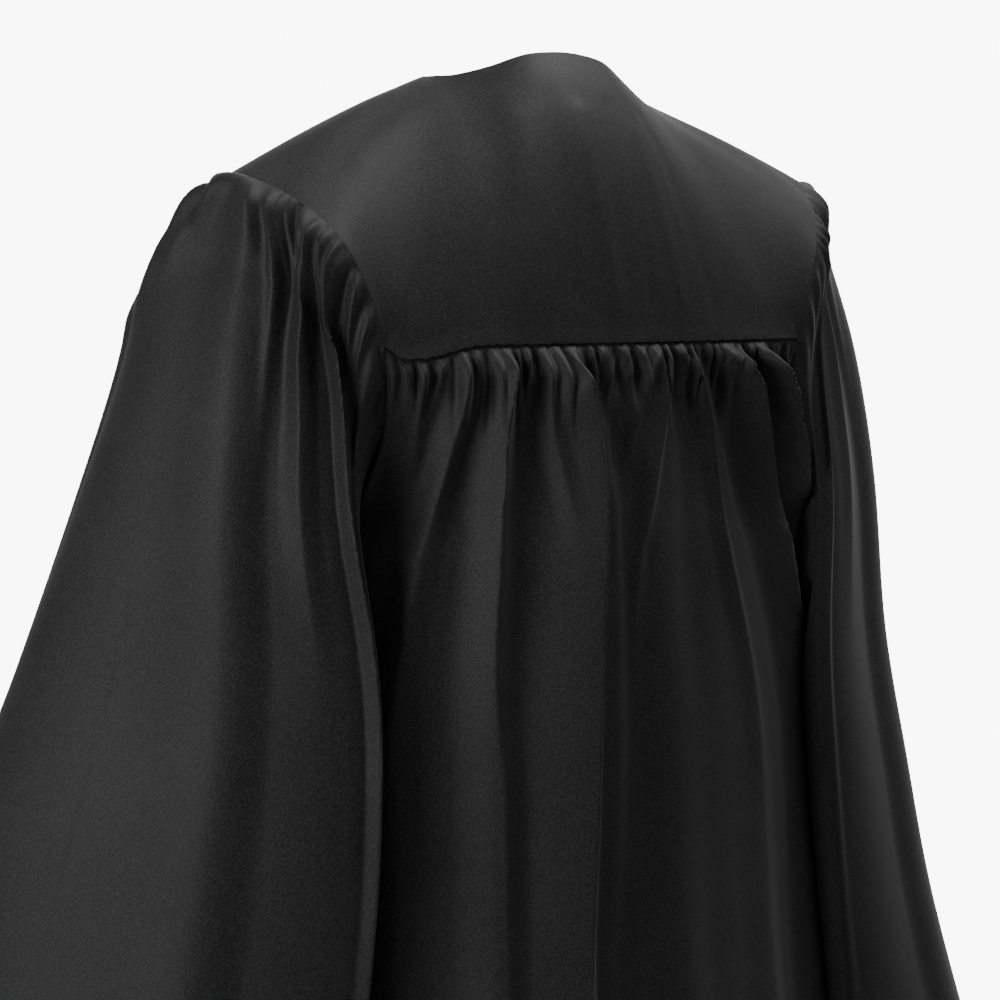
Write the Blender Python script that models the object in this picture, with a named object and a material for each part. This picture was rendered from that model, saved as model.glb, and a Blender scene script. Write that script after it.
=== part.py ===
"""Graduation gown, filled out as worn, with nobody in it.

+Z is up, the front faces -Y and the wearer's left is +X. The origin lies midway between the two places
where the yoke rests on the shoulders, beside the neck. All sizes are in metres.
"""
import math

import bmesh
import bpy
import numpy as np

# Driving sizes
CLOTH = 0.0016            # wall of the cloth
SEAM_GAP = 0.0003         # space between two pieces at a seam
YOKE_SEAM = -0.179        # height of the seam under the back yoke
UNDERARM = -0.320         # height of the lowest point of the armhole
CUFF = -0.735             # mean height of the sleeve's hem
CUFF_TILT = 0.030         # how much lower the sleeve hangs at its back than at its front, half of it
HEM = -1.280              # height of the gown's hem
V_DEPTH = -0.165          # height of the bottom of the V neck
ZIP_WIDTH = 0.006         # chain of the front zip

# Body of the gown: half width, and how far the back and the front stand off the shoulder line
BODY = (
    # height  half_width  back   front
    (-0.100,  0.205,      0.098, 0.094),
    (-0.179,  0.205,      0.105, 0.112),
    (-0.250,  0.202,      0.115, 0.124),
    (-0.320,  0.200,      0.127, 0.131),
    (-0.450,  0.207,      0.143, 0.135),
    (-0.600,  0.213,      0.152, 0.140),
    (-0.750,  0.226,      0.163, 0.152),
    (-0.950,  0.255,      0.185, 0.175),
    (-1.150,  0.292,      0.209, 0.201),
    (-1.280,  0.317,      0.225, 0.218),
)

# Armhole of the wearer's left side, from the top of the shoulder down the back and up the front
ARMHOLE = (
    # place           x      y       z
    ("shoulder",      0.236, 0.000, -0.066),
    ("back_shoulder", 0.218, 0.036, -0.077),
    ("blade_upper",   0.206, 0.062, -0.093),
    ("blade",         0.194, 0.081, -0.114),
    ("blade_lower",   0.181, 0.089, -0.145),
    ("yoke_back",     0.170, 0.089, -0.179),
    ("back_mid",      0.163, 0.076, -0.228),
    ("back_low",      0.174, 0.048, -0.284),
    ("underarm",      0.200, 0.000, -0.320),
    ("front_low",     0.178, -0.052, -0.285),
    ("front_mid",     0.166, -0.082, -0.228),
    ("front",         0.174, -0.090, -0.175),
    ("yoke_front",    0.196, -0.078, -0.126),
    ("front_shoulder", 0.221, -0.042, -0.088),
)

# Yoke: the neck edge, and the crown point that each line from neck to outer edge bends towards
YOKE = (
    # along  neck_x neck_y  neck_z   crown_x crown_y crown_z
    (0.000,  0.000, 0.046,  0.020,   0.000,  0.096, -0.035),
    (0.130,  0.030, 0.043,  0.016,   0.045,  0.094, -0.041),
    (0.270,  0.055, 0.032,  0.006,   0.086,  0.085, -0.052),
    (0.400,  0.073, 0.018,  0.000,   0.120,  0.070, -0.058),
    (0.550,  0.083, 0.004,  -0.001,  0.152,  0.040, -0.046),
    (0.700,  0.086, -0.010, -0.003,  0.164,  0.004, -0.025),
    (0.850,  0.083, -0.028, -0.018,  0.156,  -0.028, -0.040),
    (1.000,  0.076, -0.046, -0.040,  0.142,  -0.056, -0.072),
)
YOKE_CORNER = 0.400       # where along the yoke its outer edge turns from the back seam to the armhole

# Sleeve: level sections of the bell, an oval with its own middle, half sizes and turn in degrees
SLEEVE = (
    # height  middle_x middle_y long   outer  inner  turn
    (-0.070,  0.220,   0.006,   0.046, 0.008, 0.018, 52.0),
    (-0.110,  0.224,   0.010,   0.076, 0.014, 0.032, 52.0),
    (-0.190,  0.232,   0.006,   0.085, 0.035, 0.048, 52.0),
    (-0.280,  0.251,   0.006,   0.100, 0.036, 0.042, 52.0),
    (-0.400,  0.264,   -0.002,  0.131, 0.043, 0.041, 50.0),
    (-0.500,  0.283,   -0.007,  0.150, 0.051, 0.048, 48.0),
    (-0.600,  0.302,   -0.012,  0.161, 0.060, 0.050, 47.0),
    (-0.735,  0.328,   -0.021,  0.174, 0.082, 0.055, 46.0),
)
SLEEVE_SEAM_GAP = 0.0009  # space at the curved seam between the sleeve and the armhole
SLEEVE_CLEARANCE = 0.007  # least space between a hanging sleeve and the folds of the panels
CLEARANCE_RISE = 0.010    # distance from the armhole over which that space opens


def smooth_row(table, value):
    """Read every column of a table at one value of its first column, on a smooth curve."""
    rows = np.array(table, dtype=float)
    keys = rows[:, 0]
    if keys[0] > keys[-1]:
        rows = rows[::-1]
        keys = rows[:, 0]
    value = min(max(value, keys[0]), keys[-1])
    i = min(int(np.searchsorted(keys, value, side="right")) - 1, len(keys) - 2)
    span = keys[i + 1] - keys[i]
    t = (value - keys[i]) / span
    slopes = []
    for k in (i, i + 1):
        low = max(k - 1, 0)
        high = min(k + 1, len(keys) - 1)
        slopes.append((rows[high, 1:] - rows[low, 1:]) / (keys[high] - keys[low]))
    return hermite(rows[i, 1:], slopes[0] * span, slopes[1] * span, rows[i + 1, 1:], t)


def hermite(start, start_slope, end_slope, end, t):
    """Point at t on the cubic between two ends with the given slopes."""
    a = 2 * t ** 3 - 3 * t ** 2 + 1
    b = t ** 3 - 2 * t ** 2 + t
    c = -2 * t ** 3 + 3 * t ** 2
    d = t ** 3 - t ** 2
    return a * start + b * start_slope + c * end + d * end_slope


def ease(t):
    """Rise smoothly from 0 to 1."""
    t = min(max(t, 0.0), 1.0)
    return t * t * (3.0 - 2.0 * t)


def unit(vector):
    """The vector at length 1."""
    return vector / max(np.linalg.norm(vector), 1e-12)


def uneven(number, seed):
    """A fixed value from -1 to 1 that differs from one number to the next."""
    value = math.sin(number * 12.9898 + seed * 78.233) * 43758.5453
    return 2.0 * (value - math.floor(value)) - 1.0


def closed_curve(points, steps):
    """Smooth closed curve through points, with steps points between each two."""
    points = np.array(points, dtype=float)
    count = len(points)
    curve = []
    for i in range(count):
        before, start, end, after = (points[(i + k) % count] for k in (-1, 0, 1, 2))
        for step in range(steps):
            t = step / steps
            curve.append(hermite(start, 0.5 * (end - before), 0.5 * (after - start), end, t))
    return np.array(curve)


LOOP_STEPS = 40
LOOP = closed_curve([row[1:] for row in ARMHOLE], LOOP_STEPS)
LOOP_LENGTHS = np.concatenate(([0.0], np.cumsum(np.linalg.norm(np.roll(LOOP, -1, axis=0) - LOOP, axis=1))))
PLACES = {row[0]: LOOP_LENGTHS[i * LOOP_STEPS] / LOOP_LENGTHS[-1] for i, row in enumerate(ARMHOLE)}


def armhole(share):
    """Point on the armhole at a share of its length, from the shoulder down the back."""
    length = (share % 1.0) * LOOP_LENGTHS[-1]
    closed = np.vstack((LOOP, LOOP[:1]))
    return np.array([np.interp(length, LOOP_LENGTHS, closed[:, axis]) for axis in range(3)])


def armhole_at(height, side):
    """Across and depth of the armhole's back or front edge at one height."""
    split = len(LOOP) * [row[0] for row in ARMHOLE].index("underarm") // len(ARMHOLE)
    branch = LOOP[:split + 1][::-1] if side == "back" else np.vstack((LOOP[split:], LOOP[:1]))
    return tuple(np.interp(height, branch[:, 2], branch[:, axis]) for axis in (0, 1))


def body_oval(height, side):
    """Half width and depth of the oval that the body follows at one height, and its last angle."""
    half_width, back, front = smooth_row(BODY, height)
    depth = back if side == "back" else front
    if height <= UNDERARM:
        return half_width, depth, math.pi / 2
    edge_x, edge_y = armhole_at(height, side)
    half_width = edge_x / math.sqrt(1.0 - min(abs(edge_y) / depth, 0.999) ** 2)
    return half_width, depth, math.asin(min(edge_x / half_width, 1.0))


TOP_SPREAD = {"back": 0.180, "front": 0.190}   # width of half a panel at its top, for its straight threads


def body_section(height, side, fraction):
    """Point of the smooth body at one height, from the centre line (0) to the side or armhole edge (1).

    Threads near the centre line hang straight, so the outer ones spread as the armhole ends.
    """
    half_width, depth, last_angle = body_oval(height, side)
    straight = TOP_SPREAD[side] / (half_width * last_angle)
    if height <= UNDERARM:
        straight = TOP_SPREAD[side] / (smooth_row(BODY, UNDERARM)[0] * last_angle)
    straight = min(straight, 1.0)
    angle = last_angle * (straight * fraction + (1.0 - straight) * fraction ** 3)
    sign = 1.0 if side == "back" else -1.0
    across = half_width * math.sin(angle)
    return np.array([across, sign * (depth * math.cos(angle) + SEAM_GAP / 2), height])


YOKE_ROWS = 9
YOKE_SEAM_STATIONS = 9
YOKE_ARMHOLE_STATIONS = 18


def yoke_share(along):
    """Share of the armhole's length at a place along the yoke, past its corner."""
    start = PLACES["yoke_back"]
    end = PLACES["yoke_front"] - 1.0
    return start + (along - YOKE_CORNER) / (1.0 - YOKE_CORNER) * (end - start)


def yoke_edge(along):
    """Outer edge of the yoke: the back seam, then the armhole, then the front end's corner."""
    if along <= YOKE_CORNER:
        return body_section(YOKE_SEAM, "back", along / YOKE_CORNER)
    return armhole(yoke_share(along))


def yoke_point(along, out):
    """Point of the yoke on the wearer's left: along the neck edge, and out from it to the outer edge."""
    row = smooth_row(YOKE, along)
    neck, crown = row[:3], row[3:]
    edge = yoke_edge(along)
    return (1 - out) ** 2 * neck + 2 * out * (1 - out) * crown + out ** 2 * edge


def grid_normals(grid, closed_across=False):
    """Outward normals of a grid of points, rows down and columns across to the wearer's left at the back."""
    if closed_across:
        left = np.roll(grid, 1, axis=1)
        right = np.roll(grid, -1, axis=1)
    else:
        left = np.concatenate((grid[:, :1], grid[:, :-1]), axis=1)
        right = np.concatenate((grid[:, 1:], grid[:, -1:]), axis=1)
    above = np.concatenate((grid[:1], grid[:-1]), axis=0)
    below = np.concatenate((grid[1:], grid[-1:]), axis=0)
    normals = np.cross(right - left, below - above)
    return normals / np.maximum(np.linalg.norm(normals, axis=2), 1e-12)[:, :, None]


def wall(name, outer, normals, material, closed_across=False):
    """Closed cloth wall under a grid of outer points."""
    rows, columns = outer.shape[:2]
    inner = outer - CLOTH * normals
    mesh = bmesh.new()
    a, b = ([[mesh.verts.new(point) for point in line] for line in grid] for grid in (outer, inner))
    last = columns if closed_across else columns - 1
    for r in range(rows - 1):
        for c in range(last):
            n = (c + 1) % columns
            mesh.faces.new((a[r][c], a[r + 1][c], a[r + 1][n], a[r][n]))
            mesh.faces.new((b[r][c], b[r][n], b[r + 1][n], b[r + 1][c]))
    for r in (0, rows - 1):
        for c in range(last):
            n = (c + 1) % columns
            mesh.faces.new((a[r][c], a[r][n], b[r][n], b[r][c]))
    if not closed_across:
        for c in (0, columns - 1):
            for r in range(rows - 1):
                mesh.faces.new((a[r][c], a[r + 1][c], b[r + 1][c], b[r][c]))
    return finish_mesh(name, mesh, material)


def finish_mesh(name, mesh, material):
    """Turn the faces outwards, shade the round ones smooth and link the object."""
    bmesh.ops.triangulate(mesh, faces=mesh.faces[:])
    bmesh.ops.recalc_face_normals(mesh, faces=mesh.faces[:])
    if mesh.calc_volume(signed=True) < 0:
        bmesh.ops.reverse_faces(mesh, faces=mesh.faces[:])
    data = bpy.data.meshes.new(name)
    mesh.to_mesh(data)
    mesh.free()
    data.shade_smooth()
    data.set_sharp_from_angle(angle=math.radians(60))
    data.materials.append(material)
    thing = bpy.data.objects.new(name, data)
    bpy.context.scene.collection.objects.link(thing)
    return thing


# Colours and finishes
CLOTH_COLOUR = (0.012, 0.012, 0.013)
CLOTH_ROUGHNESS = 0.62
CLOTH_SHEEN = 0.25
CHAIN_COLOUR = (0.010, 0.010, 0.011)
CHAIN_ROUGHNESS = 0.45
METAL_COLOUR = (0.018, 0.018, 0.019)
METAL_ROUGHNESS = 0.35
METAL_SHINE = 0.6


def principled(name, colour, roughness, metallic=0.0, sheen=0.0):
    """Plain material of one colour."""
    material = bpy.data.materials.new(name)
    material.use_nodes = True
    shader = material.node_tree.nodes["Principled BSDF"]
    shader.inputs["Base Color"].default_value = (*colour, 1.0)
    shader.inputs["Roughness"].default_value = roughness
    shader.inputs["Metallic"].default_value = metallic
    shader.inputs["Sheen Weight"].default_value = sheen
    return material


def bump(distance, width):
    """Soft ridge of height 1 at distance 0, gone at one width to either side."""
    share = abs(distance) / width
    return 0.0 if share >= 1.0 else (0.5 + 0.5 * math.cos(math.pi * share)) ** 1.2


def fade(down, start, full, end):
    """0 above start, 1 from full on, back to 0 at end."""
    rise = ease((down - start) / max(full - start, 1e-6))
    fall = 1.0 - ease((down - full) / max(end - full, 1e-6))
    return rise * fall if down < end else 0.0


# Distances below a seam at which the fold tables give a fold's place
FOLD_LEVELS = (0.006, 0.060, 0.140, 0.280, 0.500)

# Folds of the back panel: ridges (+) and troughs (-), by share of the half width, + to the wearer's left
BACK_FOLDS = (
    # name     top    near    mid    low    hem    height  width+  width-  full   end
    ("edge",    0.93,  0.94,  0.94,  0.94,  0.94,   0.005,  0.06,   0.05,   0.03,  0.16),
    ("soft",    0.83,  0.84,  0.81,  0.81,  0.81,   0.005,  0.06,   0.07,   0.03,  0.10),
    ("a",       0.65,  0.69,  0.68,  0.70,  0.71,   0.009,  0.11,   0.07,   0.05,  0.60),
    ("ab",      0.56,  0.59,  0.59,  0.58,  0.58,  -0.005,  0.08,   0.08,   0.06,  1.60),
    ("b",       0.46,  0.50,  0.50,  0.48,  0.47,   0.010,  0.11,   0.05,   0.05,  2.40),
    ("c",       0.31,  0.30,  0.23,  0.23,  0.23,   0.006,  0.07,   0.07,   0.04,  0.15),
    ("d",       0.20,  0.15,  0.17,  0.23,  0.27,   0.015,  0.19,   0.06,   0.07,  9.00),
    ("centre",  0.06,  0.03,  0.02,  0.07,  0.10,  -0.007,  0.06,   0.14,   0.08,  9.00),
    ("g",      -0.19, -0.06,  0.05,  0.05,  0.05,   0.006,  0.07,   0.04,   0.03,  0.13),
    ("h",      -0.25, -0.18, -0.04,  0.00,  0.00,   0.007,  0.09,   0.05,   0.04,  0.22),
    ("hi",     -0.31, -0.31, -0.24, -0.20, -0.20,  -0.004,  0.09,   0.10,   0.08,  9.00),
    ("i",      -0.35, -0.44, -0.42, -0.47, -0.47,   0.007,  0.07,   0.08,   0.04,  0.50),
    ("ij",     -0.50, -0.58, -0.60, -0.60, -0.60,  -0.007,  0.09,   0.09,   0.06,  9.00),
    ("j",      -0.61, -0.73, -0.74, -0.72, -0.69,   0.011,  0.11,   0.05,   0.04,  1.80),
    ("jk",     -0.70, -0.78, -0.80, -0.79, -0.77,  -0.004,  0.05,   0.05,   0.05,  1.20),
    ("k",      -0.77, -0.83, -0.85, -0.86, -0.87,   0.014,  0.08,   0.08,   0.07,  9.00),
    ("l",      -0.90, -0.92, -0.92, -0.92, -0.92,   0.006,  0.05,   0.06,   0.03,  0.12),
)

# Folds of a front panel, by share from the zip (0) to the side (1)
FRONT_FOLDS = (
    # name     top    near    mid    low    hem    height  width+  width-  full   end
    ("inner",   0.46,  0.44,  0.40,  0.37,  0.36,   0.008,  0.12,   0.09,   0.08,  9.00),
    ("middle",  0.62,  0.62,  0.61,  0.60,  0.60,   0.009,  0.10,   0.10,   0.08,  9.00),
    ("outer",   0.80,  0.82,  0.84,  0.85,  0.85,   0.008,  0.09,   0.10,   0.06,  9.00),
    ("gap_in",  0.54,  0.53,  0.50,  0.48,  0.48,  -0.005,  0.07,   0.08,   0.06,  9.00),
    ("gap_out", 0.71,  0.72,  0.73,  0.73,  0.73,  -0.005,  0.08,   0.07,   0.06,  9.00),
    ("short_a", 0.52,  0.50,  0.48,  0.48,  0.48,   0.005,  0.05,   0.05,   0.03,  0.16),
    ("short_b", 0.88,  0.91,  0.93,  0.93,  0.93,   0.005,  0.05,   0.05,   0.03,  0.14),
)

# Folds of a sleeve, by share of the way round it: 0 the shoulder, then the back, the underarm and the front
SLEEVE_FOLDS = (
    # name     top    near    mid    low    hem    height  width+  width-  full   end
    ("s0",     -0.085, -0.070, -0.060, -0.060, -0.060, 0.006, 0.026, 0.030,  0.03,  0.13),
    ("s1",     0.015, -0.030, -0.040, -0.040, -0.040, 0.006,  0.022,  0.026,  0.02,  0.10),
    ("s2",     0.055,  0.045,  0.034,  0.037,  0.043, 0.010,  0.022,  0.040,  0.03,  9.00),
    ("s4",     0.080,  0.087,  0.070,  0.070,  0.070, 0.008,  0.020,  0.018,  0.03,  0.20),
    ("s5",     0.106,  0.104,  0.112,  0.125,  0.130, 0.011,  0.018,  0.028,  0.03,  0.32),
    ("s6",     0.148,  0.140,  0.205,  0.225,  0.235, 0.011,  0.018,  0.034,  0.03,  9.00),
    ("s7",     0.188,  0.176,  0.176,  0.176,  0.176, 0.006,  0.016,  0.022,  0.02,  0.11),
    ("s8",     0.230,  0.250,  0.262,  0.270,  0.270, 0.007,  0.030,  0.030,  0.03,  0.40),
    ("front2", 0.900,  0.898,  0.895,  0.890,  0.885, 0.008,  0.030,  0.030,  0.04,  0.60),
    ("front3", 0.845,  0.842,  0.838,  0.835,  0.830, 0.008,  0.036,  0.034,  0.05,  9.00),
    ("front4", 0.780,  0.778,  0.774,  0.770,  0.770, 0.007,  0.032,  0.034,  0.04,  0.40),
    ("front5", 0.705,  0.700,  0.695,  0.690,  0.685, 0.005,  0.036,  0.040,  0.05,  9.00),
)

# Where the threads from each place of the armhole hang on the sleeve's oval
SLEEVE_TURNS = (
    # share  degrees round the oval from its front tip, by the outside to the back
    (-0.155, -22.0),
    (-0.072, 15.0),
    (0.000,  72.0),
    (0.030,  95.0),
    (0.060,  114.0),
    (0.105,  130.0),
    (0.150,  148.0),
    (0.200,  162.0),
    (0.252,  174.0),
    (0.325,  188.0),
    (0.417,  209.0),
    (0.504,  232.0),
    (0.594,  257.0),
    (0.689,  286.0),
    (0.766,  310.0),
    (0.845,  338.0),
    (0.928,  375.0),
    (1.000,  432.0),
    (1.030,  455.0),
)

FOLD_SPREAD = 1.6         # how much wider and deeper a long fold is at the hem than near the seam


def fold_height(folds, place, down, reach, round_the_tube=False):
    """How far the cloth stands out at one place, from all folds of a piece."""
    height = 0.0
    for fold in folds:
        ridge, plus, minus, full, end = fold[6:]
        distance = place - np.interp(down, FOLD_LEVELS, fold[1:6])
        if round_the_tube:
            distance = (distance + 0.5) % 1.0 - 0.5
        growth = 1.0 + (FOLD_SPREAD - 1.0) * min(down / reach, 1.0)
        width = (plus if distance > 0 else minus) * growth
        height += ridge * growth * bump(distance, width) * fade(down, 0.0, full, end)
    return height


# Gathers: how uneven they are, as shares, and the numbers that their differences start from
GATHER_SPACING = 0.45
GATHER_LENGTHS = 0.55
GATHER_HEIGHTS = 0.40
BACK_SEED = 3.0
FRONT_SEED = 5.0
SLEEVE_SEED = 8.0


def gather_places(count, seed, closed_across=False):
    """Places from 0 to 1 of the gathers' ridges and the dips between them, unevenly spaced."""
    steps = np.array([1.0 + GATHER_SPACING * uneven(i, seed) for i in range(2 * count)])
    places = np.concatenate(([0.0], np.cumsum(steps) / steps.sum()))
    return places[:-1] if closed_across else places


GATHER_SINK = 0.010       # distance below a seam at which the gathers are fullest


def gather_height(index, down, height, length, seed):
    """How far one ridge (even index) or dip (odd) of the gathers stands out or in at a distance down."""
    own_length = length * (1.0 + GATHER_LENGTHS * uneven(index // 2, seed + 1.0))
    own_height = height * (1.0 + GATHER_HEIGHTS * uneven(index, seed + 2.0))
    sign = 1.0 if index % 2 == 0 else -1.0
    return sign * own_height * ease(down / GATHER_SINK) * (1.0 - ease((down - GATHER_SINK) / own_length))


BACK_GATHERS = 30
SLEEVE_GATHERS = 34
FRONT_GATHERS = 7
GATHER_HEIGHT = 0.0028
GATHER_LENGTH = 0.075

# Shares of a panel over which its folds die away at its sides and at the zip
BACK_SIDE_FADE = 0.06
FRONT_SIDE_FADE = 0.08
FRONT_ZIP_FADE = 0.10

# Distances down the back panel, and shares of the way down a sleeve, at which their cloth has a row of points
BACK_ROWS = (0.0, 0.007, 0.018, 0.040, 0.070, 0.105, 0.141, 0.20, 0.29, 0.40, 0.54, 0.70, 0.90, 1.1007)
SLEEVE_ROWS = (0.0, 0.011, 0.028, 0.055, 0.095, 0.15, 0.22, 0.31, 0.42, 0.55, 0.69, 0.84, 1.0)


def square_edge(normals, column, axis, rows):
    """Take one direction out of the normals of a column, so that the wall ends square to it."""
    normals[rows, column, axis] = 0.0
    normals[rows, column] /= np.linalg.norm(normals[rows, column], axis=1)[:, None]


def level_edge(normals, row, columns=slice(None)):
    """Make one row of normals level, so that both sides of a level seam are flat and parallel."""
    normals[row, columns, 2] = 0.0
    normals[row, columns] /= np.linalg.norm(normals[row, columns], axis=1)[:, None]


def make_yoke(material):
    """Yoke: one grid from the right front end round the back of the neck to the left front end."""
    half = np.concatenate((np.linspace(0, YOKE_CORNER, YOKE_SEAM_STATIONS),
                           np.linspace(YOKE_CORNER, 1, YOKE_ARMHOLE_STATIONS)[1:]))
    alongs = np.concatenate((-half[:0:-1], half))
    outs = np.linspace(0, 1, YOKE_ROWS)
    mirror = np.array([-1.0, 1.0, 1.0])
    grid = np.array([[yoke_point(abs(a), out) * (mirror if a < 0 else 1.0) for a in alongs] for out in outs])
    normals = grid_normals(grid)
    seam = np.abs(alongs) < YOKE_CORNER + 1e-6
    level_edge(normals, -1, seam)
    wall("yoke", grid, normals, material)


def make_back_panel(material):
    """Back panel: gathered into the yoke seam, hanging to the hem."""
    places = 2.0 * gather_places(BACK_GATHERS, BACK_SEED) - 1.0
    heights = [YOKE_SEAM - SEAM_GAP - down for down in BACK_ROWS]
    mirror = np.array([-1.0, 1.0, 1.0])
    grid = np.array([[body_section(z, "back", abs(p)) * (mirror if p < 0 else 1.0) for p in places]
                     for z in heights])
    normals = grid_normals(grid)
    reach = YOKE_SEAM - HEM
    for r, down in enumerate(BACK_ROWS):
        for c, place in enumerate(places):
            inside = ease((1.0 - abs(place)) / BACK_SIDE_FADE)
            height = fold_height(BACK_FOLDS, place, down, reach)
            height += gather_height(c, down, GATHER_HEIGHT, GATHER_LENGTH, BACK_SEED)
            grid[r, c] += normals[r, c] * height * inside
    normals = grid_normals(grid)
    below = np.array([z <= UNDERARM for z in heights])
    for column in (0, -1):
        square_edge(normals, column, 1, below)
    level_edge(normals, 0)
    level_edge(normals, -1)
    wall("back_panel", grid, normals, material)
    return grid


FRONT_SEAM_GAP = 0.0006   # space at the curved seam between the yoke and a front
FRONT_SEAM_WAY = np.array([0.0, -0.55, -0.83])   # direction in which a front leaves that seam
NECK_BOW = np.array([0.004, -0.010, 0.0])        # how far the middle of a V neck edge bows out
STRAIGHT_ZIP = 0.1        # distance from the centre line within which the zip edge shifts a front's threads
FRONT_LEVEL = -0.215      # height from which the front panel follows the level sections of the body
NECK_SHARE = 0.42         # share of the front's top edge that is the V neck, the rest joins the yoke
NECK_STATIONS = 7
FRONT_TOP_ROWS = (0.0, 0.12, 0.32, 0.62, 1.0)
FRONT_LOW_ROWS = (-0.245, -0.275, -0.305, -0.320, -0.36, -0.43, -0.53, -0.66, -0.82, -1.02, HEM)


def yoke_end_normal(out):
    """Outward normal of the yoke at its front end."""
    step = 0.03
    outwards = yoke_point(1.0, min(out + step, 1.0)) - yoke_point(1.0, max(out - step, 0.0))
    forwards = yoke_point(1.0, out) - yoke_point(1.0 - step, out)
    return unit(np.cross(outwards, forwards)) * (1.0 if np.cross(outwards, forwards)[2] > 0 else -1.0)


def front_top(across):
    """Top edge of the left front: up the V neck from the zip, then along the yoke's front end."""
    if across >= NECK_SHARE:
        point = yoke_point(1.0, (across - NECK_SHARE) / (1.0 - NECK_SHARE))
        return point + FRONT_SEAM_GAP * unit(FRONT_SEAM_WAY)
    low = np.array([0.0, -smooth_row(BODY, V_DEPTH)[2], V_DEPTH])
    high = yoke_point(1.0, 0.0) + FRONT_SEAM_GAP * unit(FRONT_SEAM_WAY)
    t = across / NECK_SHARE
    return low + (high - low) * t + NECK_BOW * math.sin(math.pi * t)


def front_point(across, row):
    """Point of the smooth left front, by share from the zip to the side and by row from the top."""
    if row >= len(FRONT_TOP_ROWS):
        point = body_section(FRONT_LOW_ROWS[row - len(FRONT_TOP_ROWS)], "front", across)
        edge_x = body_section(point[2], "front", 1.0)[0]
    else:
        v = FRONT_TOP_ROWS[row]
        top_corner = front_top(1.0)
        low_corner = body_section(FRONT_LEVEL, "front", 1.0)
        height = top_corner[2] + (FRONT_LEVEL - top_corner[2]) * v
        edge_x, edge_y = armhole_at(height, "front")
        shift = np.array([edge_x, edge_y, height]) - (top_corner + (low_corner - top_corner) * v)
        top = front_top(across)
        point = top + (body_section(FRONT_LEVEL, "front", across) - top) * v + shift * across ** 4
        edge_x = max(point[0], STRAIGHT_ZIP)
    zip_edge = ZIP_WIDTH / 2 + SEAM_GAP
    point[0] = zip_edge + point[0] * (edge_x - zip_edge) / edge_x
    return point


def make_front_panel(name, side, material):
    """Front panel: a half of the front, side +1 on the wearer's left and -1 on the right."""
    neck = np.linspace(0, NECK_SHARE, NECK_STATIONS)
    joined = NECK_SHARE + (1.0 - NECK_SHARE) * gather_places(FRONT_GATHERS, FRONT_SEED + side)
    places = np.concatenate((neck[:-1], joined))
    rows = len(FRONT_TOP_ROWS) + len(FRONT_LOW_ROWS)
    grid = np.array([[front_point(p, r) for p in places] for r in range(rows)])
    downs = np.concatenate((np.zeros((1, len(places))),
                            np.cumsum(np.linalg.norm(np.diff(grid, axis=0), axis=2), axis=0)))
    normals = -grid_normals(grid)
    first = len(neck) - 1
    for r in range(rows):
        for c, place in enumerate(places):
            inside = ease((1.0 - place) / FRONT_SIDE_FADE) * ease(place / FRONT_ZIP_FADE)
            height = fold_height(FRONT_FOLDS, place, downs[r, c], -HEM)
            if c >= first:
                height += gather_height(c - first, downs[r, c], GATHER_HEIGHT, GATHER_LENGTH,
                                        FRONT_SEED + side)
            grid[r, c] += normals[r, c] * height * inside
    normals = -grid_normals(grid)
    square_edge(normals, -1, 1, grid[:, -1, 2] <= UNDERARM)
    square_edge(normals, 0, 0, grid[:, 0, 2] < 0)
    level_edge(normals, -1)
    for c in range(first, len(places)):
        normals[0, c] = yoke_end_normal((places[c] - NECK_SHARE) / (1.0 - NECK_SHARE))
    grid[:, :, 0] *= side
    normals[:, :, 0] *= side
    wall(name, grid, normals, material)
    return grid * np.array([side, 1.0, 1.0])


def cut_armhole():
    """Share and place of each corner that the yoke and both panels leave round the armhole."""
    shares, points = [], []
    for along in np.linspace(YOKE_CORNER, 1, YOKE_ARMHOLE_STATIONS):
        shares.append(yoke_share(along) % 1.0)
        points.append(yoke_edge(along))
    lengths = LOOP_LENGTHS[:-1] / LOOP_LENGTHS[-1]
    split = LOOP_STEPS * [row[0] for row in ARMHOLE].index("underarm")
    for down in BACK_ROWS:
        height = YOKE_SEAM - SEAM_GAP - down
        if height > UNDERARM:
            shares.append(np.interp(-height, -LOOP[:split, 2], lengths[:split]))
            points.append(body_section(height, "back", 1.0))
    for row in range(len(FRONT_TOP_ROWS) + len(FRONT_LOW_ROWS)):
        point = front_point(1.0, row)
        if point[2] > UNDERARM + 1e-6:
            shares.append(np.interp(point[2], LOOP[split:, 2], lengths[split:]))
            points.append(point)
    shares.append(PLACES["underarm"])
    points.append(LOOP[split])
    order = np.argsort(shares)
    return np.array(shares)[order], np.array(points)[order]


CUT_ARMHOLE = cut_armhole()


def sleeve_start(share):
    """Point on the armhole as it is cut, at a share of its length."""
    shares, points = CUT_ARMHOLE
    shares = np.concatenate(([shares[-1] - 1.0], shares, [shares[0] + 1.0]))
    points = np.vstack((points[-1:], points, points[:1]))
    return np.array([np.interp(share, shares, points[:, axis]) for axis in range(3)])


def panel_radius(panel, height, angle):
    """How far a panel's folds reach from the centre line in one direction at one height, or 0 outside it."""
    heights = panel[:, :, 2].mean(axis=1)
    r = int(np.searchsorted(-heights, -height))
    if r <= 0 or r >= len(heights):
        return 0.0
    t = (heights[r - 1] - height) / (heights[r - 1] - heights[r])
    radii = []
    for line in (panel[r - 1], panel[r]):
        angles = np.arctan2(line[:, 0], np.abs(line[:, 1]))
        order = np.argsort(angles)
        past_edge = angle > angles[order[-1]] and line[0, 2] > UNDERARM
        if angle < angles[order[0]] or past_edge:
            radii.append(0.0)
            continue
        radii.append(np.interp(angle, angles[order], np.hypot(line[:, 0], line[:, 1])[order]))
    if min(radii) == 0.0:
        return max(radii)
    return radii[0] * (1 - t) + radii[1] * t


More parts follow.
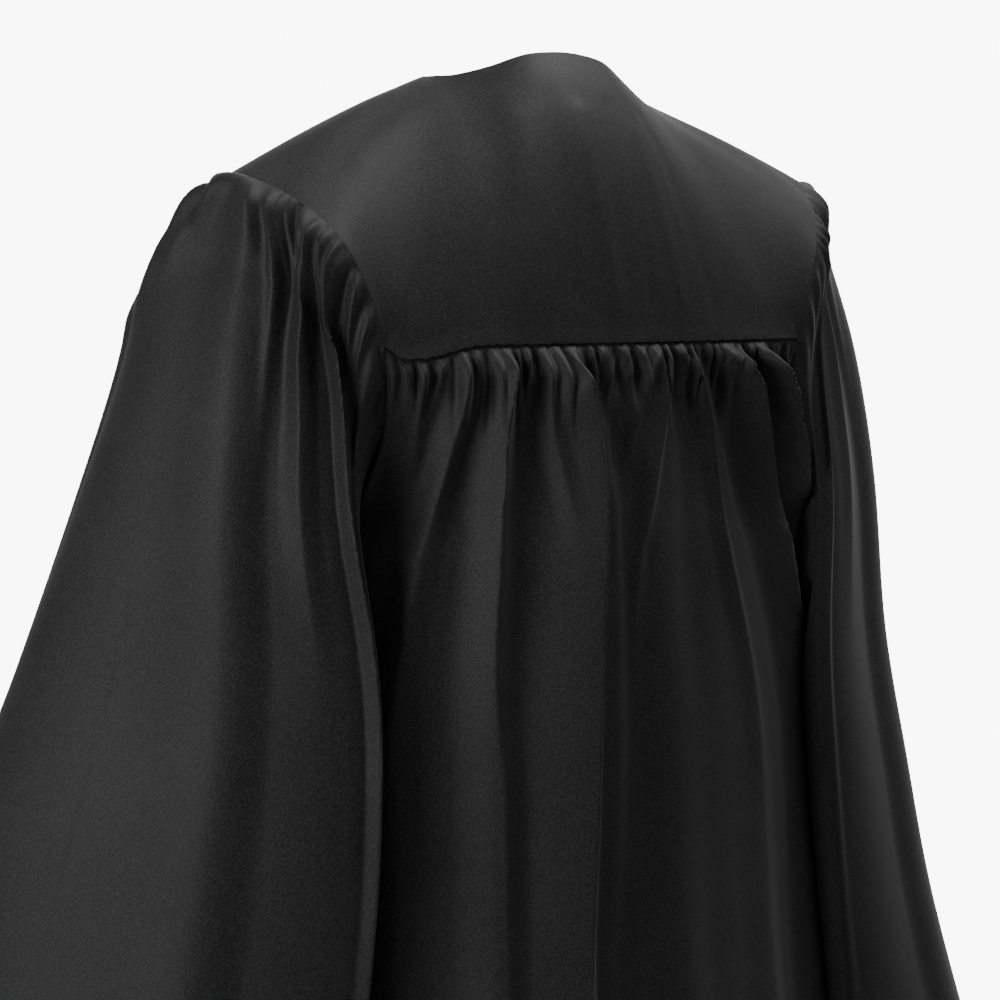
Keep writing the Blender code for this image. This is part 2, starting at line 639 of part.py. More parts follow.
def keep_clear(grid, panels):
    """Move a sleeve's points out from the panels that they would lie in or too near."""
    for r in range(1, grid.shape[0]):
        for c in range(grid.shape[1]):
            x, y, z = grid[r, c]
            panel = panels["back"] if y > 0 else panels["front"]
            angle = math.atan2(x, abs(y))
            needed = panel_radius(panel, z, angle)
            rise = min(np.linalg.norm(grid[r, c] - grid[0, c]) / CLEARANCE_RISE, 1.0)
            clear = CLOTH + SLEEVE_SEAM_GAP + SLEEVE_CLEARANCE * rise
            radius = math.hypot(x, y)
            if needed and radius < needed + clear:
                grid[r, c, :2] *= (needed + clear) / radius


def sleeve_section(height, share):
    """Point of the sleeve's level oval at a share of the way round."""
    middle_x, middle_y, long, outer, inner, turn = smooth_row(SLEEVE, height)
    angle = math.radians(smooth_row(SLEEVE_TURNS, share)[0])
    lengthwise = np.array([math.cos(math.radians(turn)), -math.sin(math.radians(turn))])
    outwards = np.array([math.sin(math.radians(turn)), math.cos(math.radians(turn))])
    short = outer if math.sin(angle) > 0 else inner
    middle = np.array([middle_x, middle_y])
    x, y = middle + long * math.cos(angle) * lengthwise + short * math.sin(angle) * outwards
    return np.array([x, y, height])


SLEEVE_SAMPLES = 201      # points on each line down a sleeve, from which its rows are taken
HEAD_STEPS = 24
TAIL_STEPS = 40
TURN_STEP = 0.02          # distance over which the direction of a sleeve's oval part is read
HEAD_WAY = np.array([1.0, 0.0, 0.06])            # direction in which a sleeve leaves the armhole
UNDERARM_FOLDS = 0.25     # how much of their height the folds keep under the arm
UNDERARM_FLAT = 0.08      # share of the way round, to either side of the underarm, that is as flat as that
UNDERARM_RISE = 0.10      # share of the way round over which they then reach their full height
HEAD_CROWDING = 0.060     # how much closer the gathers stand behind the shoulder than in front
HEAD_CROWDED_AT = 0.110   # share of the armhole where they stand closest
HEAD_DROP = 0.065         # how far the sleeve falls from its seam before it hangs on its level ovals
HEAD_PUFF = 0.038         # how strongly the head stands out from the armhole
FRONT_PUFF = 0.055        # how much more strongly it does in front of the shoulder
FRONT_PUFF_AT = -0.060    # share of the armhole where that is most, and how far it reaches
FRONT_PUFF_REACH = 0.110


def sleeve_line(share):
    """Evenly spaced points down the smooth sleeve, from the armhole to the cuff."""
    start = sleeve_start(share)
    low = start[2] - HEAD_DROP
    cuff = CUFF - CUFF_TILT * math.sin(2 * math.pi * share)
    start = start + SLEEVE_SEAM_GAP * unit(HEAD_WAY)
    end = sleeve_section(low, share)
    along = sleeve_section(low - TURN_STEP, share) - end
    from_front = (share - FRONT_PUFF_AT + 0.5) % 1.0 - 0.5
    puff = HEAD_PUFF + FRONT_PUFF * bump(from_front, FRONT_PUFF_REACH)
    head = [hermite(start, HEAD_WAY * puff, unit(along) * HEAD_DROP, end, t)
            for t in np.linspace(0, 1, HEAD_STEPS)]
    tail = [sleeve_section(z, share) for z in np.linspace(low, cuff, TAIL_STEPS)[1:]]
    line = np.array(head + tail)
    lengths = np.concatenate(([0.0], np.cumsum(np.linalg.norm(np.diff(line, axis=0), axis=1))))
    wanted = np.linspace(0, lengths[-1], SLEEVE_SAMPLES)
    return np.stack([np.interp(wanted, lengths, line[:, axis]) for axis in range(3)], axis=1), lengths[-1]


def make_sleeve(name, side, material, panels):
    """Sleeve: a gathered bell, side +1 on the wearer's left and -1 on the right."""
    shares = gather_places(SLEEVE_GATHERS, SLEEVE_SEED, closed_across=True)
    shares = np.sort((shares - HEAD_CROWDING * np.sin(2 * math.pi * (shares - HEAD_CROWDED_AT))) % 1.0)
    lines = [sleeve_line(share) for share in shares]
    picks = [int(round(row * (SLEEVE_SAMPLES - 1))) for row in SLEEVE_ROWS]
    grid = np.array([[line[pick] for line, _length in lines] for pick in picks])
    keep_clear(grid, panels)
    normals = grid_normals(grid, closed_across=True)
    if normals[-1, 0, 0] < 0:
        normals = -normals
    for r, row in enumerate(SLEEVE_ROWS):
        for c, share in enumerate(shares):
            length = lines[c][1]
            down = row * length
            height = fold_height(SLEEVE_FOLDS, share, down, length, round_the_tube=True)
            height += gather_height(c, down, GATHER_HEIGHT, GATHER_LENGTH, SLEEVE_SEED + side)
            away = ease((abs(share - PLACES["underarm"]) - UNDERARM_FLAT) / UNDERARM_RISE)
            grid[r, c] += normals[r, c] * height * (UNDERARM_FOLDS + (1.0 - UNDERARM_FOLDS) * away)
    keep_clear(grid, panels)
    normals = grid_normals(grid, closed_across=True)
    if normals[-1, 0, 0] < 0:
        normals = -normals
    ring = np.roll(grid[0], -1, axis=0) - np.roll(grid[0], 1, axis=0)
    radial = np.cross(ring, np.array([1.0, 0.0, 0.0]))
    radial /= np.linalg.norm(radial, axis=1)[:, None]
    if radial[0, 2] < 0:
        radial = -radial
    normals[0] = radial
    grid[:, :, 0] *= side
    normals[:, :, 0] *= side
    wall(name, grid, normals, material, closed_across=True)


ZIP_DEPTH = 0.0022        # front to back of the zip's chain
SLIDER_AT = -0.176        # height of the slider's middle

# Slider: two plates joined by a core, with a bridge in front that the pull tab's bar passes under
PLATE_WIDTH = 0.0095
PLATE_LENGTH = 0.0120
PLATE_THICK = 0.0012
CORE_WIDTH = 0.0040
SLIDER_SPACE = 0.0007     # space between the front plate and the cloth
SLIDER_SPACE_BEHIND = 0.0012
BRIDGE_WIDTH = 0.0022
BRIDGE_LEG = 0.0010
BRIDGE_TOP = 0.0009
BRIDGE_SPACE = 0.0026     # clear height under the bridge
BRIDGE_START = -0.0034    # ends of the bridge along the slider, + downwards
BRIDGE_END = 0.0030

# Pull tab: a plate with an eye at its top, measured downwards from the middle of its bar
TAB_WIDTH = 0.0064
TAB_LENGTH = 0.0240
TAB_THICK = 0.0012
TAB_BAR = 0.0012
EYE_WIDTH = 0.0034
EYE_LENGTH = 0.0050
TAB_SHOULDER = 0.0040     # full width goes on this far below the eye
TAB_TAPER = 0.8           # width at the lower end as a share of the full width
TAB_ROUND_STEPS = 9
TAB_AXIS = 0.0004         # the bar's place along the slider, + downwards


ZIP_LINE = np.array([front_point(0.0, row) for row in range(len(FRONT_TOP_ROWS) + len(FRONT_LOW_ROWS))])


def centre_front(height):
    """Depth of the fronts' outer faces beside the zip at one height."""
    return float(np.interp(-height, -ZIP_LINE[:, 2], ZIP_LINE[:, 1]))


def zip_axes():
    """Place of the slider on the zip's face, with its directions across, down and outwards."""
    step = 0.004
    down = unit(np.array([0.0, centre_front(SLIDER_AT - step) - centre_front(SLIDER_AT + step), -2 * step]))
    outwards = unit(np.cross(down, np.array([1.0, 0.0, 0.0])))
    if outwards[1] > 0:
        outwards = -outwards
    return np.array([0.0, centre_front(SLIDER_AT), SLIDER_AT]), np.array([1.0, 0.0, 0.0]), down, outwards


def prism(name, outline, half_width, axis_order, material, origin):
    """Solid with a flat outline, drawn out both ways along its third axis.

    The outline is measured from the origin. The first two of axis_order say which of the directions across,
    down and outwards it uses.
    """
    directions = zip_axes()[1:]
    first, second, third = (directions[i] for i in axis_order)
    mesh = bmesh.new()
    ends = []
    for offset in (-half_width, half_width):
        ends.append([mesh.verts.new(first * u + second * v + third * offset) for u, v in outline])
    mesh.faces.new(ends[0])
    mesh.faces.new(ends[1][::-1])
    count = len(outline)
    for i in range(count):
        n = (i + 1) % count
        mesh.faces.new((ends[0][i], ends[1][i], ends[1][n], ends[0][n]))
    thing = finish_mesh(name, mesh, material)
    thing.location = origin
    return thing


def cut_away(target, helper):
    """Cut a helper away from a solid and leave it as a wire guide."""
    change = target.modifiers.new(helper.name, "BOOLEAN")
    change.object = helper
    change.operation = "DIFFERENCE"
    change.solver = "EXACT"
    helper.hide_render = True
    helper.display_type = "WIRE"


def make_zip(material):
    """Closed chain of the front zip, between the two fronts from under the slider to the hem."""
    top = SLIDER_AT - PLATE_LENGTH / 2 - 2 * SEAM_GAP
    heights = [top] + [z for z in ZIP_LINE[:, 2] if z < top - SEAM_GAP]
    grid = np.array([[(x, centre_front(z), z) for x in (-ZIP_WIDTH / 2, ZIP_WIDTH / 2)] for z in heights])
    normals = np.zeros_like(grid)
    normals[:, :, 1] = -ZIP_DEPTH / CLOTH
    wall("front_zip", grid, normals, material)


def make_slider(material):
    """Slider at the top of the chain: two plates round a core, with a bridge on the front one."""
    place, across, down, outwards = zip_axes()
    front = SLIDER_SPACE + PLATE_THICK
    behind = -CLOTH - SLIDER_SPACE_BEHIND
    back = behind - PLATE_THICK
    under = front + BRIDGE_SPACE
    top = under + BRIDGE_TOP
    half, core, strip, end = PLATE_WIDTH / 2, CORE_WIDTH / 2, BRIDGE_WIDTH / 2, PLATE_LENGTH / 2
    columns = (-half, -strip, strip, half)
    rows = (-end, BRIDGE_START, BRIDGE_START + BRIDGE_LEG, BRIDGE_END - BRIDGE_LEG, BRIDGE_END, end)
    arch = ((rows[4], front), (rows[4], top), (rows[1], top), (rows[1], front),
            (rows[2], front), (rows[2], under), (rows[3], under), (rows[3], front))
    section = ((-half, SLIDER_SPACE), (-core, SLIDER_SPACE), (-core, behind), (-half, behind), (-half, back),
               (half, back), (half, behind), (core, behind), (core, SLIDER_SPACE), (half, SLIDER_SPACE))
    mesh = bmesh.new()
    corners = {}

    def face(points):
        for u, v, w in points:
            if (u, v, w) not in corners:
                corners[u, v, w] = mesh.verts.new(across * u + down * v + outwards * w)
        mesh.faces.new([corners[point] for point in points])

    for i in range(len(columns) - 1):
        for j in range(len(rows) - 1):
            if (i, j) not in ((1, 1), (1, 3)):
                face([(columns[i], rows[j], front), (columns[i + 1], rows[j], front),
                      (columns[i + 1], rows[j + 1], front), (columns[i], rows[j + 1], front)])
    for u in (-strip, strip):
        face([(u, v, w) for v, w in arch])
    for k, (v, w) in enumerate(arch):
        v_next, w_next = arch[(k + 1) % len(arch)]
        if w != front or w_next != front:
            face([(-strip, v, w), (strip, v, w), (strip, v_next, w_next), (-strip, v_next, w_next)])
    for v in (-end, end):
        face([(u, v, w) for u, w in section] + [(u, v, front) for u in columns[::-1]])
    for u in (-half, half):
        face([(u, v, front) for v in rows] + [(u, end, SLIDER_SPACE), (u, -end, SLIDER_SPACE)])
    for (u, w), (u_next, w_next) in zip(section[:-1], section[1:]):
        face([(u, -end, w), (u, end, w), (u_next, end, w_next), (u_next, -end, w_next)])
    finish_mesh("zip_slider", mesh, material).location = place


def tab_pivot():
    """Middle of the pull tab's bar, in the gown's own measures."""
    place, _across, down, outwards = zip_axes()
    return place + down * TAB_AXIS + outwards * (SLIDER_SPACE + PLATE_THICK + BRIDGE_SPACE / 2)


def make_pull(material):
    """Pull tab hanging from the slider's bridge, with its origin on the axis that it swings about."""
    pivot = tab_pivot()
    half = TAB_WIDTH / 2
    end_radius = half * TAB_TAPER
    shoulder = TAB_BAR / 2 + EYE_LENGTH + TAB_SHOULDER
    low = TAB_LENGTH - end_radius
    rounding = [(end_radius * math.cos(a), low + end_radius * math.sin(a))
                for a in np.linspace(0, math.pi, TAB_ROUND_STEPS)]
    outline = [(-half, -TAB_BAR / 2), (half, -TAB_BAR / 2), (half, shoulder)] + rounding + [(-half, shoulder)]
    tab = prism("zip_pull", outline, TAB_THICK / 2, (0, 1, 2), material, pivot)
    eye = [(-EYE_WIDTH / 2, TAB_BAR / 2), (EYE_WIDTH / 2, TAB_BAR / 2),
           (EYE_WIDTH / 2, TAB_BAR / 2 + EYE_LENGTH), (-EYE_WIDTH / 2, TAB_BAR / 2 + EYE_LENGTH)]
    cutter = prism("zip_eye_guide", eye, TAB_THICK, (0, 1, 2), material, pivot)
    cut_away(tab, cutter)


def cloth(piece):
    """Black matt cloth of one piece."""
    return principled(piece + "_cloth", CLOTH_COLOUR, CLOTH_ROUGHNESS, sheen=CLOTH_SHEEN)


def enamel(piece):
    """Black enamelled metal of one piece."""
    return principled(piece + "_metal", METAL_COLOUR, METAL_ROUGHNESS, metallic=METAL_SHINE)


def build():
    """Make the whole gown."""
    for thing in list(bpy.data.objects):
        bpy.data.objects.remove(thing, do_unlink=True)
    make_yoke(cloth("yoke"))
    back = make_back_panel(cloth("back_panel"))
    left = make_front_panel("front_panel_left", 1.0, cloth("front_panel_left"))
    right = make_front_panel("front_panel_right", -1.0, cloth("front_panel_right"))
    mirrored_back = (back * np.array([-1.0, 1.0, 1.0]))[:, ::-1]
    make_sleeve("sleeve_left", 1.0, cloth("sleeve_left"), {"back": back, "front": left})
    make_sleeve("sleeve_right", -1.0, cloth("sleeve_right"), {"back": mirrored_back, "front": right})
    make_zip(principled("zip_nylon", CHAIN_COLOUR, CHAIN_ROUGHNESS))
    make_slider(enamel("zip_slider"))
    make_pull(enamel("zip_pull"))


build()
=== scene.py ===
"""Graduation gown: the looks of the cloth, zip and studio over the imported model.

+Z is up, the front faces -Y and the wearer's left is +X, in metres.
"""
import functools
import math

import bpy
import numpy as np
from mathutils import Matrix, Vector


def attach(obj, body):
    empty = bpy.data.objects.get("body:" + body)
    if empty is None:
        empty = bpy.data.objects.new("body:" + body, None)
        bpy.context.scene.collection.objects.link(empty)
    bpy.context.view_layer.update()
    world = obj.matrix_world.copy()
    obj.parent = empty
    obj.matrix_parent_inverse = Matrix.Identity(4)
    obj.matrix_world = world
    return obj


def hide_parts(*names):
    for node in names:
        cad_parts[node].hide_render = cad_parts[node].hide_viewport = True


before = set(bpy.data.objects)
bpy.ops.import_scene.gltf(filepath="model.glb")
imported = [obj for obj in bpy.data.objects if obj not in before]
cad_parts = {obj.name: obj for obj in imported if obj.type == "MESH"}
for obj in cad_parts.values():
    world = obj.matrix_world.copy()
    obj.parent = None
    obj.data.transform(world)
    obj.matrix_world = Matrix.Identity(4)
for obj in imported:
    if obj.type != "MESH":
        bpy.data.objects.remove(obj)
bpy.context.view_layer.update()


# Driving sizes
CLOTH = 0.0016  # wall of the cloth
SEAM_GAP = 0.0003  # space between two pieces at a seam
YOKE_SEAM = -0.179  # height of the seam under the back yoke
UNDERARM = -0.320  # height of the lowest point of the armhole
CUFF = -0.735  # mean height of the sleeve's hem
CUFF_TILT = 0.030  # how much lower the sleeve hangs at its back than at its front, half of it
HEM = -1.280  # height of the gown's hem
V_DEPTH = -0.165  # height of the bottom of the V neck
ZIP_WIDTH = 0.006  # chain of the front zip

# Body of the gown: half width, and how far the back and the front stand off the shoulder line
BODY = (
    # height, half_width, back, front
    (-0.100, 0.205, 0.098, 0.094),
    (-0.179, 0.205, 0.105, 0.112),
    (-0.250, 0.202, 0.115, 0.124),
    (-0.320, 0.200, 0.127, 0.131),
    (-0.450, 0.207, 0.143, 0.135),
    (-0.600, 0.213, 0.152, 0.140),
    (-0.750, 0.226, 0.163, 0.152),
    (-0.950, 0.255, 0.185, 0.175),
    (-1.150, 0.292, 0.209, 0.201),
    (-1.280, 0.317, 0.225, 0.218),
)

# Armhole of the wearer's left side, from the top of the shoulder down the back and up the front
ARMHOLE = (
    # place, x, y, z
    ("shoulder", 0.236, 0.000, -0.066),
    ("back_shoulder", 0.218, 0.036, -0.077),
    ("blade_upper", 0.206, 0.062, -0.093),
    ("blade", 0.194, 0.081, -0.114),
    ("blade_lower", 0.181, 0.089, -0.145),
    ("yoke_back", 0.170, 0.089, -0.179),
    ("back_mid", 0.163, 0.076, -0.228),
    ("back_low", 0.174, 0.048, -0.284),
    ("underarm", 0.200, 0.000, -0.320),
    ("front_low", 0.178, -0.052, -0.285),
    ("front_mid", 0.166, -0.082, -0.228),
    ("front", 0.174, -0.090, -0.175),
    ("yoke_front", 0.196, -0.078, -0.126),
    ("front_shoulder", 0.221, -0.042, -0.088),
)

# Yoke: the neck edge, and the crown point that each line from neck to outer edge bends towards
YOKE = (
    # along, neck_x neck_y, neck_z, crown_x crown_y crown_z
    (0.000, 0.000, 0.046, 0.020, 0.000, 0.096, -0.035),
    (0.130, 0.030, 0.043, 0.016, 0.045, 0.094, -0.041),
    (0.270, 0.055, 0.032, 0.006, 0.086, 0.085, -0.052),
    (0.400, 0.073, 0.018, 0.000, 0.120, 0.070, -0.058),
    (0.550, 0.083, 0.004, -0.001, 0.152, 0.040, -0.046),
    (0.700, 0.086, -0.010, -0.003, 0.164, 0.004, -0.025),
    (0.850, 0.083, -0.028, -0.018, 0.156, -0.028, -0.040),
    (1.000, 0.076, -0.046, -0.040, 0.142, -0.056, -0.072),
)
MIRROR = np.array([-1.0, 1.0, 1.0])
YOKE_CORNER = 0.400  # where along the yoke its outer edge turns from the back seam to the armhole

# Sleeve: level sections of the bell, an oval with its own middle, half sizes and turn in degrees
SLEEVE = (
    # height, middle_x middle_y long, outer, inner, turn
    (-0.070, 0.220, 0.006, 0.046, 0.008, 0.018, 52.0),
    (-0.110, 0.224, 0.010, 0.076, 0.014, 0.032, 52.0),
    (-0.190, 0.232, 0.006, 0.085, 0.035, 0.048, 52.0),
    (-0.280, 0.251, 0.006, 0.100, 0.036, 0.042, 52.0),
    (-0.400, 0.264, -0.002, 0.131, 0.043, 0.041, 50.0),
    (-0.500, 0.283, -0.007, 0.150, 0.051, 0.048, 48.0),
    (-0.600, 0.302, -0.012, 0.161, 0.060, 0.050, 47.0),
    (-0.735, 0.328, -0.021, 0.174, 0.082, 0.055, 46.0),
)
SLEEVE_SEAM_GAP = 0.0009  # space at the curved seam between the sleeve and the armhole
SLEEVE_CLEARANCE = 0.007  # least space between a hanging sleeve and the folds of the panels
CLEARANCE_RISE = 0.010  # distance from the armhole over which that space opens


def smooth_row(table, value):
    """Read every column of a table at one value of its first column, on a smooth curve."""
    rows = np.array(table, dtype=float)
    if rows[0, 0] > rows[-1, 0]:
        rows = rows[::-1]
    keys = rows[:, 0]
    value = min(max(value, keys[0]), keys[-1])
    i = min(int(np.searchsorted(keys, value, side="right")) - 1, len(keys) - 2)
    span = keys[i + 1] - keys[i]
    t = (value - keys[i]) / span
    slopes = []
    for k in (i, i + 1):
        low, high = max(k - 1, 0), min(k + 1, len(keys) - 1)
        slopes.append((rows[high, 1:] - rows[low, 1:]) / (keys[high] - keys[low]))
    return hermite(rows[i, 1:], slopes[0] * span, slopes[1] * span, rows[i + 1, 1:], t)


def hermite(start, start_slope, end_slope, end, t):
    """Point at t on the cubic between two ends with the given slopes."""
    a = 2 * t ** 3 - 3 * t ** 2 + 1
    b = t ** 3 - 2 * t ** 2 + t
    c = -2 * t ** 3 + 3 * t ** 2
    d = t ** 3 - t ** 2
    return a * start + b * start_slope + c * end + d * end_slope


def rise(t):
    """Smooth step from 0 to 1."""
    t = np.clip(t, 0.0, 1.0)
    return t * t * (3.0 - 2.0 * t)


def unit(vectors):
    """A vector, or each one of an array, at length 1."""
    return vectors / np.maximum(np.linalg.norm(vectors, axis=-1), 1e-12)[..., None]


def uneven(number, seed):
    """A fixed value from -1 to 1 that differs from one number to the next."""
    value = math.sin(number * 12.9898 + seed * 78.233) * 43758.5453
    return 2.0 * (value - math.floor(value)) - 1.0


def closed_curve(points, steps):
    """Smooth closed curve through points, with steps points between each two."""
    points = np.array(points, dtype=float)
    count = len(points)
    curve = []
    for i in range(count):
        before, start, end, after = (points[(i + k) % count] for k in (-1, 0, 1, 2))
        for step in range(steps):
            t = step / steps
            curve.append(hermite(start, 0.5 * (end - before), 0.5 * (after - start), end, t))
    return np.array(curve)


def distances(line):
    """Distances along a line of points from its first one."""
    return np.concatenate(([0.0], np.cumsum(np.linalg.norm(np.diff(line, axis=0), axis=1))))


def points_along(line, lengths, wanted):
    """Points of a line at the wanted distances, with the distances of its own points."""
    return np.stack([np.interp(wanted, lengths, line[:, axis]) for axis in range(3)], axis=-1)


LOOP_STEPS = 40
LOOP = closed_curve([row[1:] for row in ARMHOLE], LOOP_STEPS)
LOOP = np.vstack((LOOP, LOOP[:1]))
LOOP_LENGTHS = distances(LOOP)
PLACES = {row[0]: LOOP_LENGTHS[i * LOOP_STEPS] / LOOP_LENGTHS[-1] for i, row in enumerate(ARMHOLE)}


def armhole(share):
    """Point on the armhole at a share of its length, from the shoulder down the back."""
    return points_along(LOOP, LOOP_LENGTHS, (share % 1.0) * LOOP_LENGTHS[-1])


def armhole_at(height, side):
    """Across and depth of the armhole's back or front edge at one height."""
    split = LOOP_STEPS * [row[0] for row in ARMHOLE].index("underarm")
    branch = LOOP[:split + 1][::-1] if side == "back" else LOOP[split:]
    return tuple(np.interp(height, branch[:, 2], branch[:, axis]) for axis in (0, 1))


def body_oval(height, side):
    """Half width and depth of the oval that the body follows at one height, and its last angle."""
    half_width, back, front = smooth_row(BODY, height)
    depth = back if side == "back" else front
    if height <= UNDERARM:
        return half_width, depth, math.pi / 2
    edge_x, edge_y = armhole_at(height, side)
    half_width = edge_x / math.sqrt(1.0 - min(abs(edge_y) / depth, 0.999) ** 2)
    return half_width, depth, math.asin(min(edge_x / half_width, 1.0))


TOP_SPREAD = {"back": 0.180, "front": 0.190}  # width of half a panel at its top, for its straight threads


def body_row(height, side, fractions):
    """Points of the smooth body at one height, for an array of signed shares of the half width.

    Threads near the centre line hang straight, so the outer ones spread as the armhole ends.
    """
    half_width, depth, last_angle = body_oval(height, side)
    straight = TOP_SPREAD[side] / (half_width * last_angle)
    if height <= UNDERARM:
        straight = TOP_SPREAD[side] / (smooth_row(BODY, UNDERARM)[0] * last_angle)
    straight = min(straight, 1.0)
    size = np.abs(fractions)
    angle = last_angle * (straight * size + (1.0 - straight) * size ** 3)
    sign = 1.0 if side == "back" else -1.0
    across = half_width * np.sin(angle) * np.sign(fractions)
    depth_line = sign * (depth * np.cos(angle) + SEAM_GAP / 2)
    return np.stack((across, depth_line, np.full_like(across, height)), axis=1)


def yoke_share(along):
    """Share of the armhole's length at a place along the yoke, past its corner."""
    start = PLACES["yoke_back"]
    end = PLACES["yoke_front"] - 1.0
    return start + (along - YOKE_CORNER) / (1.0 - YOKE_CORNER) * (end - start)


def yoke_edge(along):
    """Outer edge of the yoke: the back seam, then the armhole, then the front end's corner."""
    if along <= YOKE_CORNER:
        return body_row(YOKE_SEAM, "back", np.array([along / YOKE_CORNER]))[0]
    return armhole(yoke_share(along))


def yoke_point(along, out):
    """Point or points of the yoke on the wearer's left: along its neck edge, then out to its outer edge."""
    row = smooth_row(YOKE, along)
    return (1 - out) ** 2 * row[:3] + 2 * out * (1 - out) * row[3:] + out ** 2 * yoke_edge(along)


def grid_normals(grid, closed_across=False):
    """Outward normals of a grid of points, rows down and columns across to the wearer's left at the back."""
    wide = np.pad(grid, ((0, 0), (1, 1), (0, 0)), mode="wrap" if closed_across else "edge")
    tall = np.pad(grid, ((1, 1), (0, 0), (0, 0)), mode="edge")
    return unit(np.cross(wide[:, 2:] - wide[:, :-2], tall[2:] - tall[:-2]))


# Distances below a seam at which the fold tables give a fold's place. A row's last place holds below it,
# and width+, width- are its widths to either side. It is at its full height from "full" on, gone at "end".
FOLD_STATIONS = (0.004, 0.030, 0.060, 0.100, 0.140, 0.200, 0.280, 0.400, 0.560)

# Folds of the back panel: ridges (+) and troughs (-), by share of the half width, + to the wearer's left
BACK_CREASES = (
    # name, places, height, width+, width-, crisp, full, end
    ("edge", (0.925, 0.918, 0.91, 0.907), 0.005, 0.055, 0.05, 0.3, 0.02, 0.16),
    ("a2", (0.792, 0.795, 0.773, 0.745), 0.0045, 0.045, 0.045, 0.5, 0.012, 0.11),
    ("a3", (0.731, 0.735, 0.747), 0.003, 0.03, 0.03, 0.4, 0.012, 0.06),
    ("a", (0.63, 0.632, 0.645, 0.657, 0.664, 0.65, 0.64), 0.01, 0.1, 0.07, 0.5, 0.02, 0.42),
    ("b2", (0.538, 0.552, 0.559), 0.0028, 0.03, 0.03, 0.4, 0.012, 0.07),
    ("b", (0.451, 0.462, 0.469, 0.456, 0.439, 0.415, 0.375, 0.368, 0.36), 0.015, 0.13, 0.06, 0.7, 0.02, 0.75),
    ("c2", (0.375, 0.391, 0.395), 0.0028, 0.03, 0.026, 0.4, 0.012, 0.06),
    ("c", (0.3, 0.314, 0.291, 0.239, 0.2, 0.192), 0.007, 0.06, 0.055, 0.3, 0.02, 0.15),
    ("d", (0.207, 0.165, 0.139, 0.127, 0.134, 0.146, 0.16, 0.185, 0.19), 0.023, 0.24, 0.045, 0.7, 0.03, 9.0),
    ("fan", (0.06, 0.101, 0.11), 0.0032, 0.028, 0.028, 0.5, 0.012, 0.06),
    ("fan2", (-0.019, 0.038, 0.061), 0.0032, 0.028, 0.028, 0.5, 0.012, 0.06),
    ("g2", (-0.107, -0.037, 0.045, 0.06), 0.003, 0.03, 0.03, 0.4, 0.012, 0.09),
    ("centre", (0.1, 0.07, 0.03, 0.01, 0.01, 0.02, 0.03, 0.07, 0.1), -0.004, 0.05, 0.15, 0.0, 0.08, 0.6),
    ("g", (-0.2, -0.133, -0.055, 0.02, 0.045), 0.006, 0.055, 0.035, 0.5, 0.015, 0.16),
    ("h", (-0.241, -0.22, -0.176, -0.104, -0.032, 0.006), 0.008, 0.085, 0.045, 0.6, 0.02, 0.26),
    ("hi", (-0.29, -0.31, -0.3, -0.27, -0.23, -0.2), -0.003, 0.09, 0.1, 0.0, 0.05, 0.32),
    ("i", (-0.331, -0.399, -0.42, -0.405, -0.39, -0.4, -0.411, -0.42, -0.43),
     0.0075, 0.065, 0.05, 0.6, 0.02, 0.4),
    ("ij", (-0.42, -0.49, -0.54, -0.56, -0.57, -0.58), -0.004, 0.08, 0.08, 0.0, 0.05, 0.4),
    ("j2", (-0.493, -0.536, -0.544, -0.55), 0.0035, 0.035, 0.035, 0.4, 0.012, 0.09),
    ("j", (-0.571, -0.67, -0.7, -0.715, -0.725, -0.73, -0.725, -0.7, -0.68),
     0.017, 0.13, 0.065, 0.7, 0.02, 0.8),
    ("low_a", (0.62,), 0.012, 0.11, 0.1, 0.2, 1.0, 9.0),
    ("low_b", (0.4,) * 8 + (0.39,), 0.012, 0.11, 0.09, 0.3, 1.0, 9.0),
    ("low_c", (-0.1,) * 8 + (-0.11,), 0.012, 0.12, 0.12, 0.2, 1.1, 9.0),
    ("low_d", (-0.42,) * 8 + (-0.43,),
     0.013, 0.12, 0.1, 0.3, 1.1, 9.0),
    ("low_j", (-0.69,) * 8 + (-0.68,),
     0.012, 0.11, 0.09, 0.3, 0.9, 9.0),
    ("jk", (-0.65, -0.74, -0.8, -0.805, -0.8, -0.78, -0.76, -0.74, -0.72),
     -0.004, 0.05, 0.05, 0.0, 0.04, 1.0),
    ("k", (-0.722, -0.79, -0.835, -0.84, -0.86, -0.88, -0.87, -0.865, -0.86),
     0.03, 0.08, 0.06, 0.5, 0.02, 9.0),
    ("l", (-0.859, -0.916, -0.935), 0.004, 0.045, 0.045, 0.3, 0.02, 0.13),
)

# Folds of a front panel, by share from the zip (0) to the side (1)
FRONT_FOLDS = (
    # name, places, height, width+, width-, crisp, full, end
    ("inner", (0.46, 0.45, 0.44, 0.42, 0.4, 0.39, 0.38, 0.37, 0.36), 0.008, 0.12, 0.06, 0.5, 0.04, 9.0),
    ("middle", (0.62, 0.62, 0.62, 0.61, 0.61, 0.6), 0.009, 0.06, 0.11, 0.6, 0.04, 9.0),
    ("outer", (0.8, 0.81, 0.82, 0.83, 0.84, 0.85), 0.008, 0.09, 0.06, 0.4, 0.04, 9.0),
    ("gap_in", (0.54, 0.53, 0.53, 0.52, 0.51, 0.5, 0.49, 0.48), -0.005, 0.07, 0.08, 0.0, 0.05, 9.0),
    ("gap_out", (0.71, 0.71, 0.72, 0.72, 0.73), -0.005, 0.08, 0.07, 0.0, 0.05, 9.0),
    ("short_a", (0.53, 0.52, 0.5, 0.49, 0.48), 0.005, 0.04, 0.04, 0.5, 0.02, 0.16),
    ("short_b", (0.88, 0.89, 0.91, 0.92, 0.93), 0.005, 0.04, 0.04, 0.4, 0.02, 0.14),
    ("short_c", (0.67, 0.68), 0.004, 0.03, 0.03, 0.5, 0.02, 0.2),
)

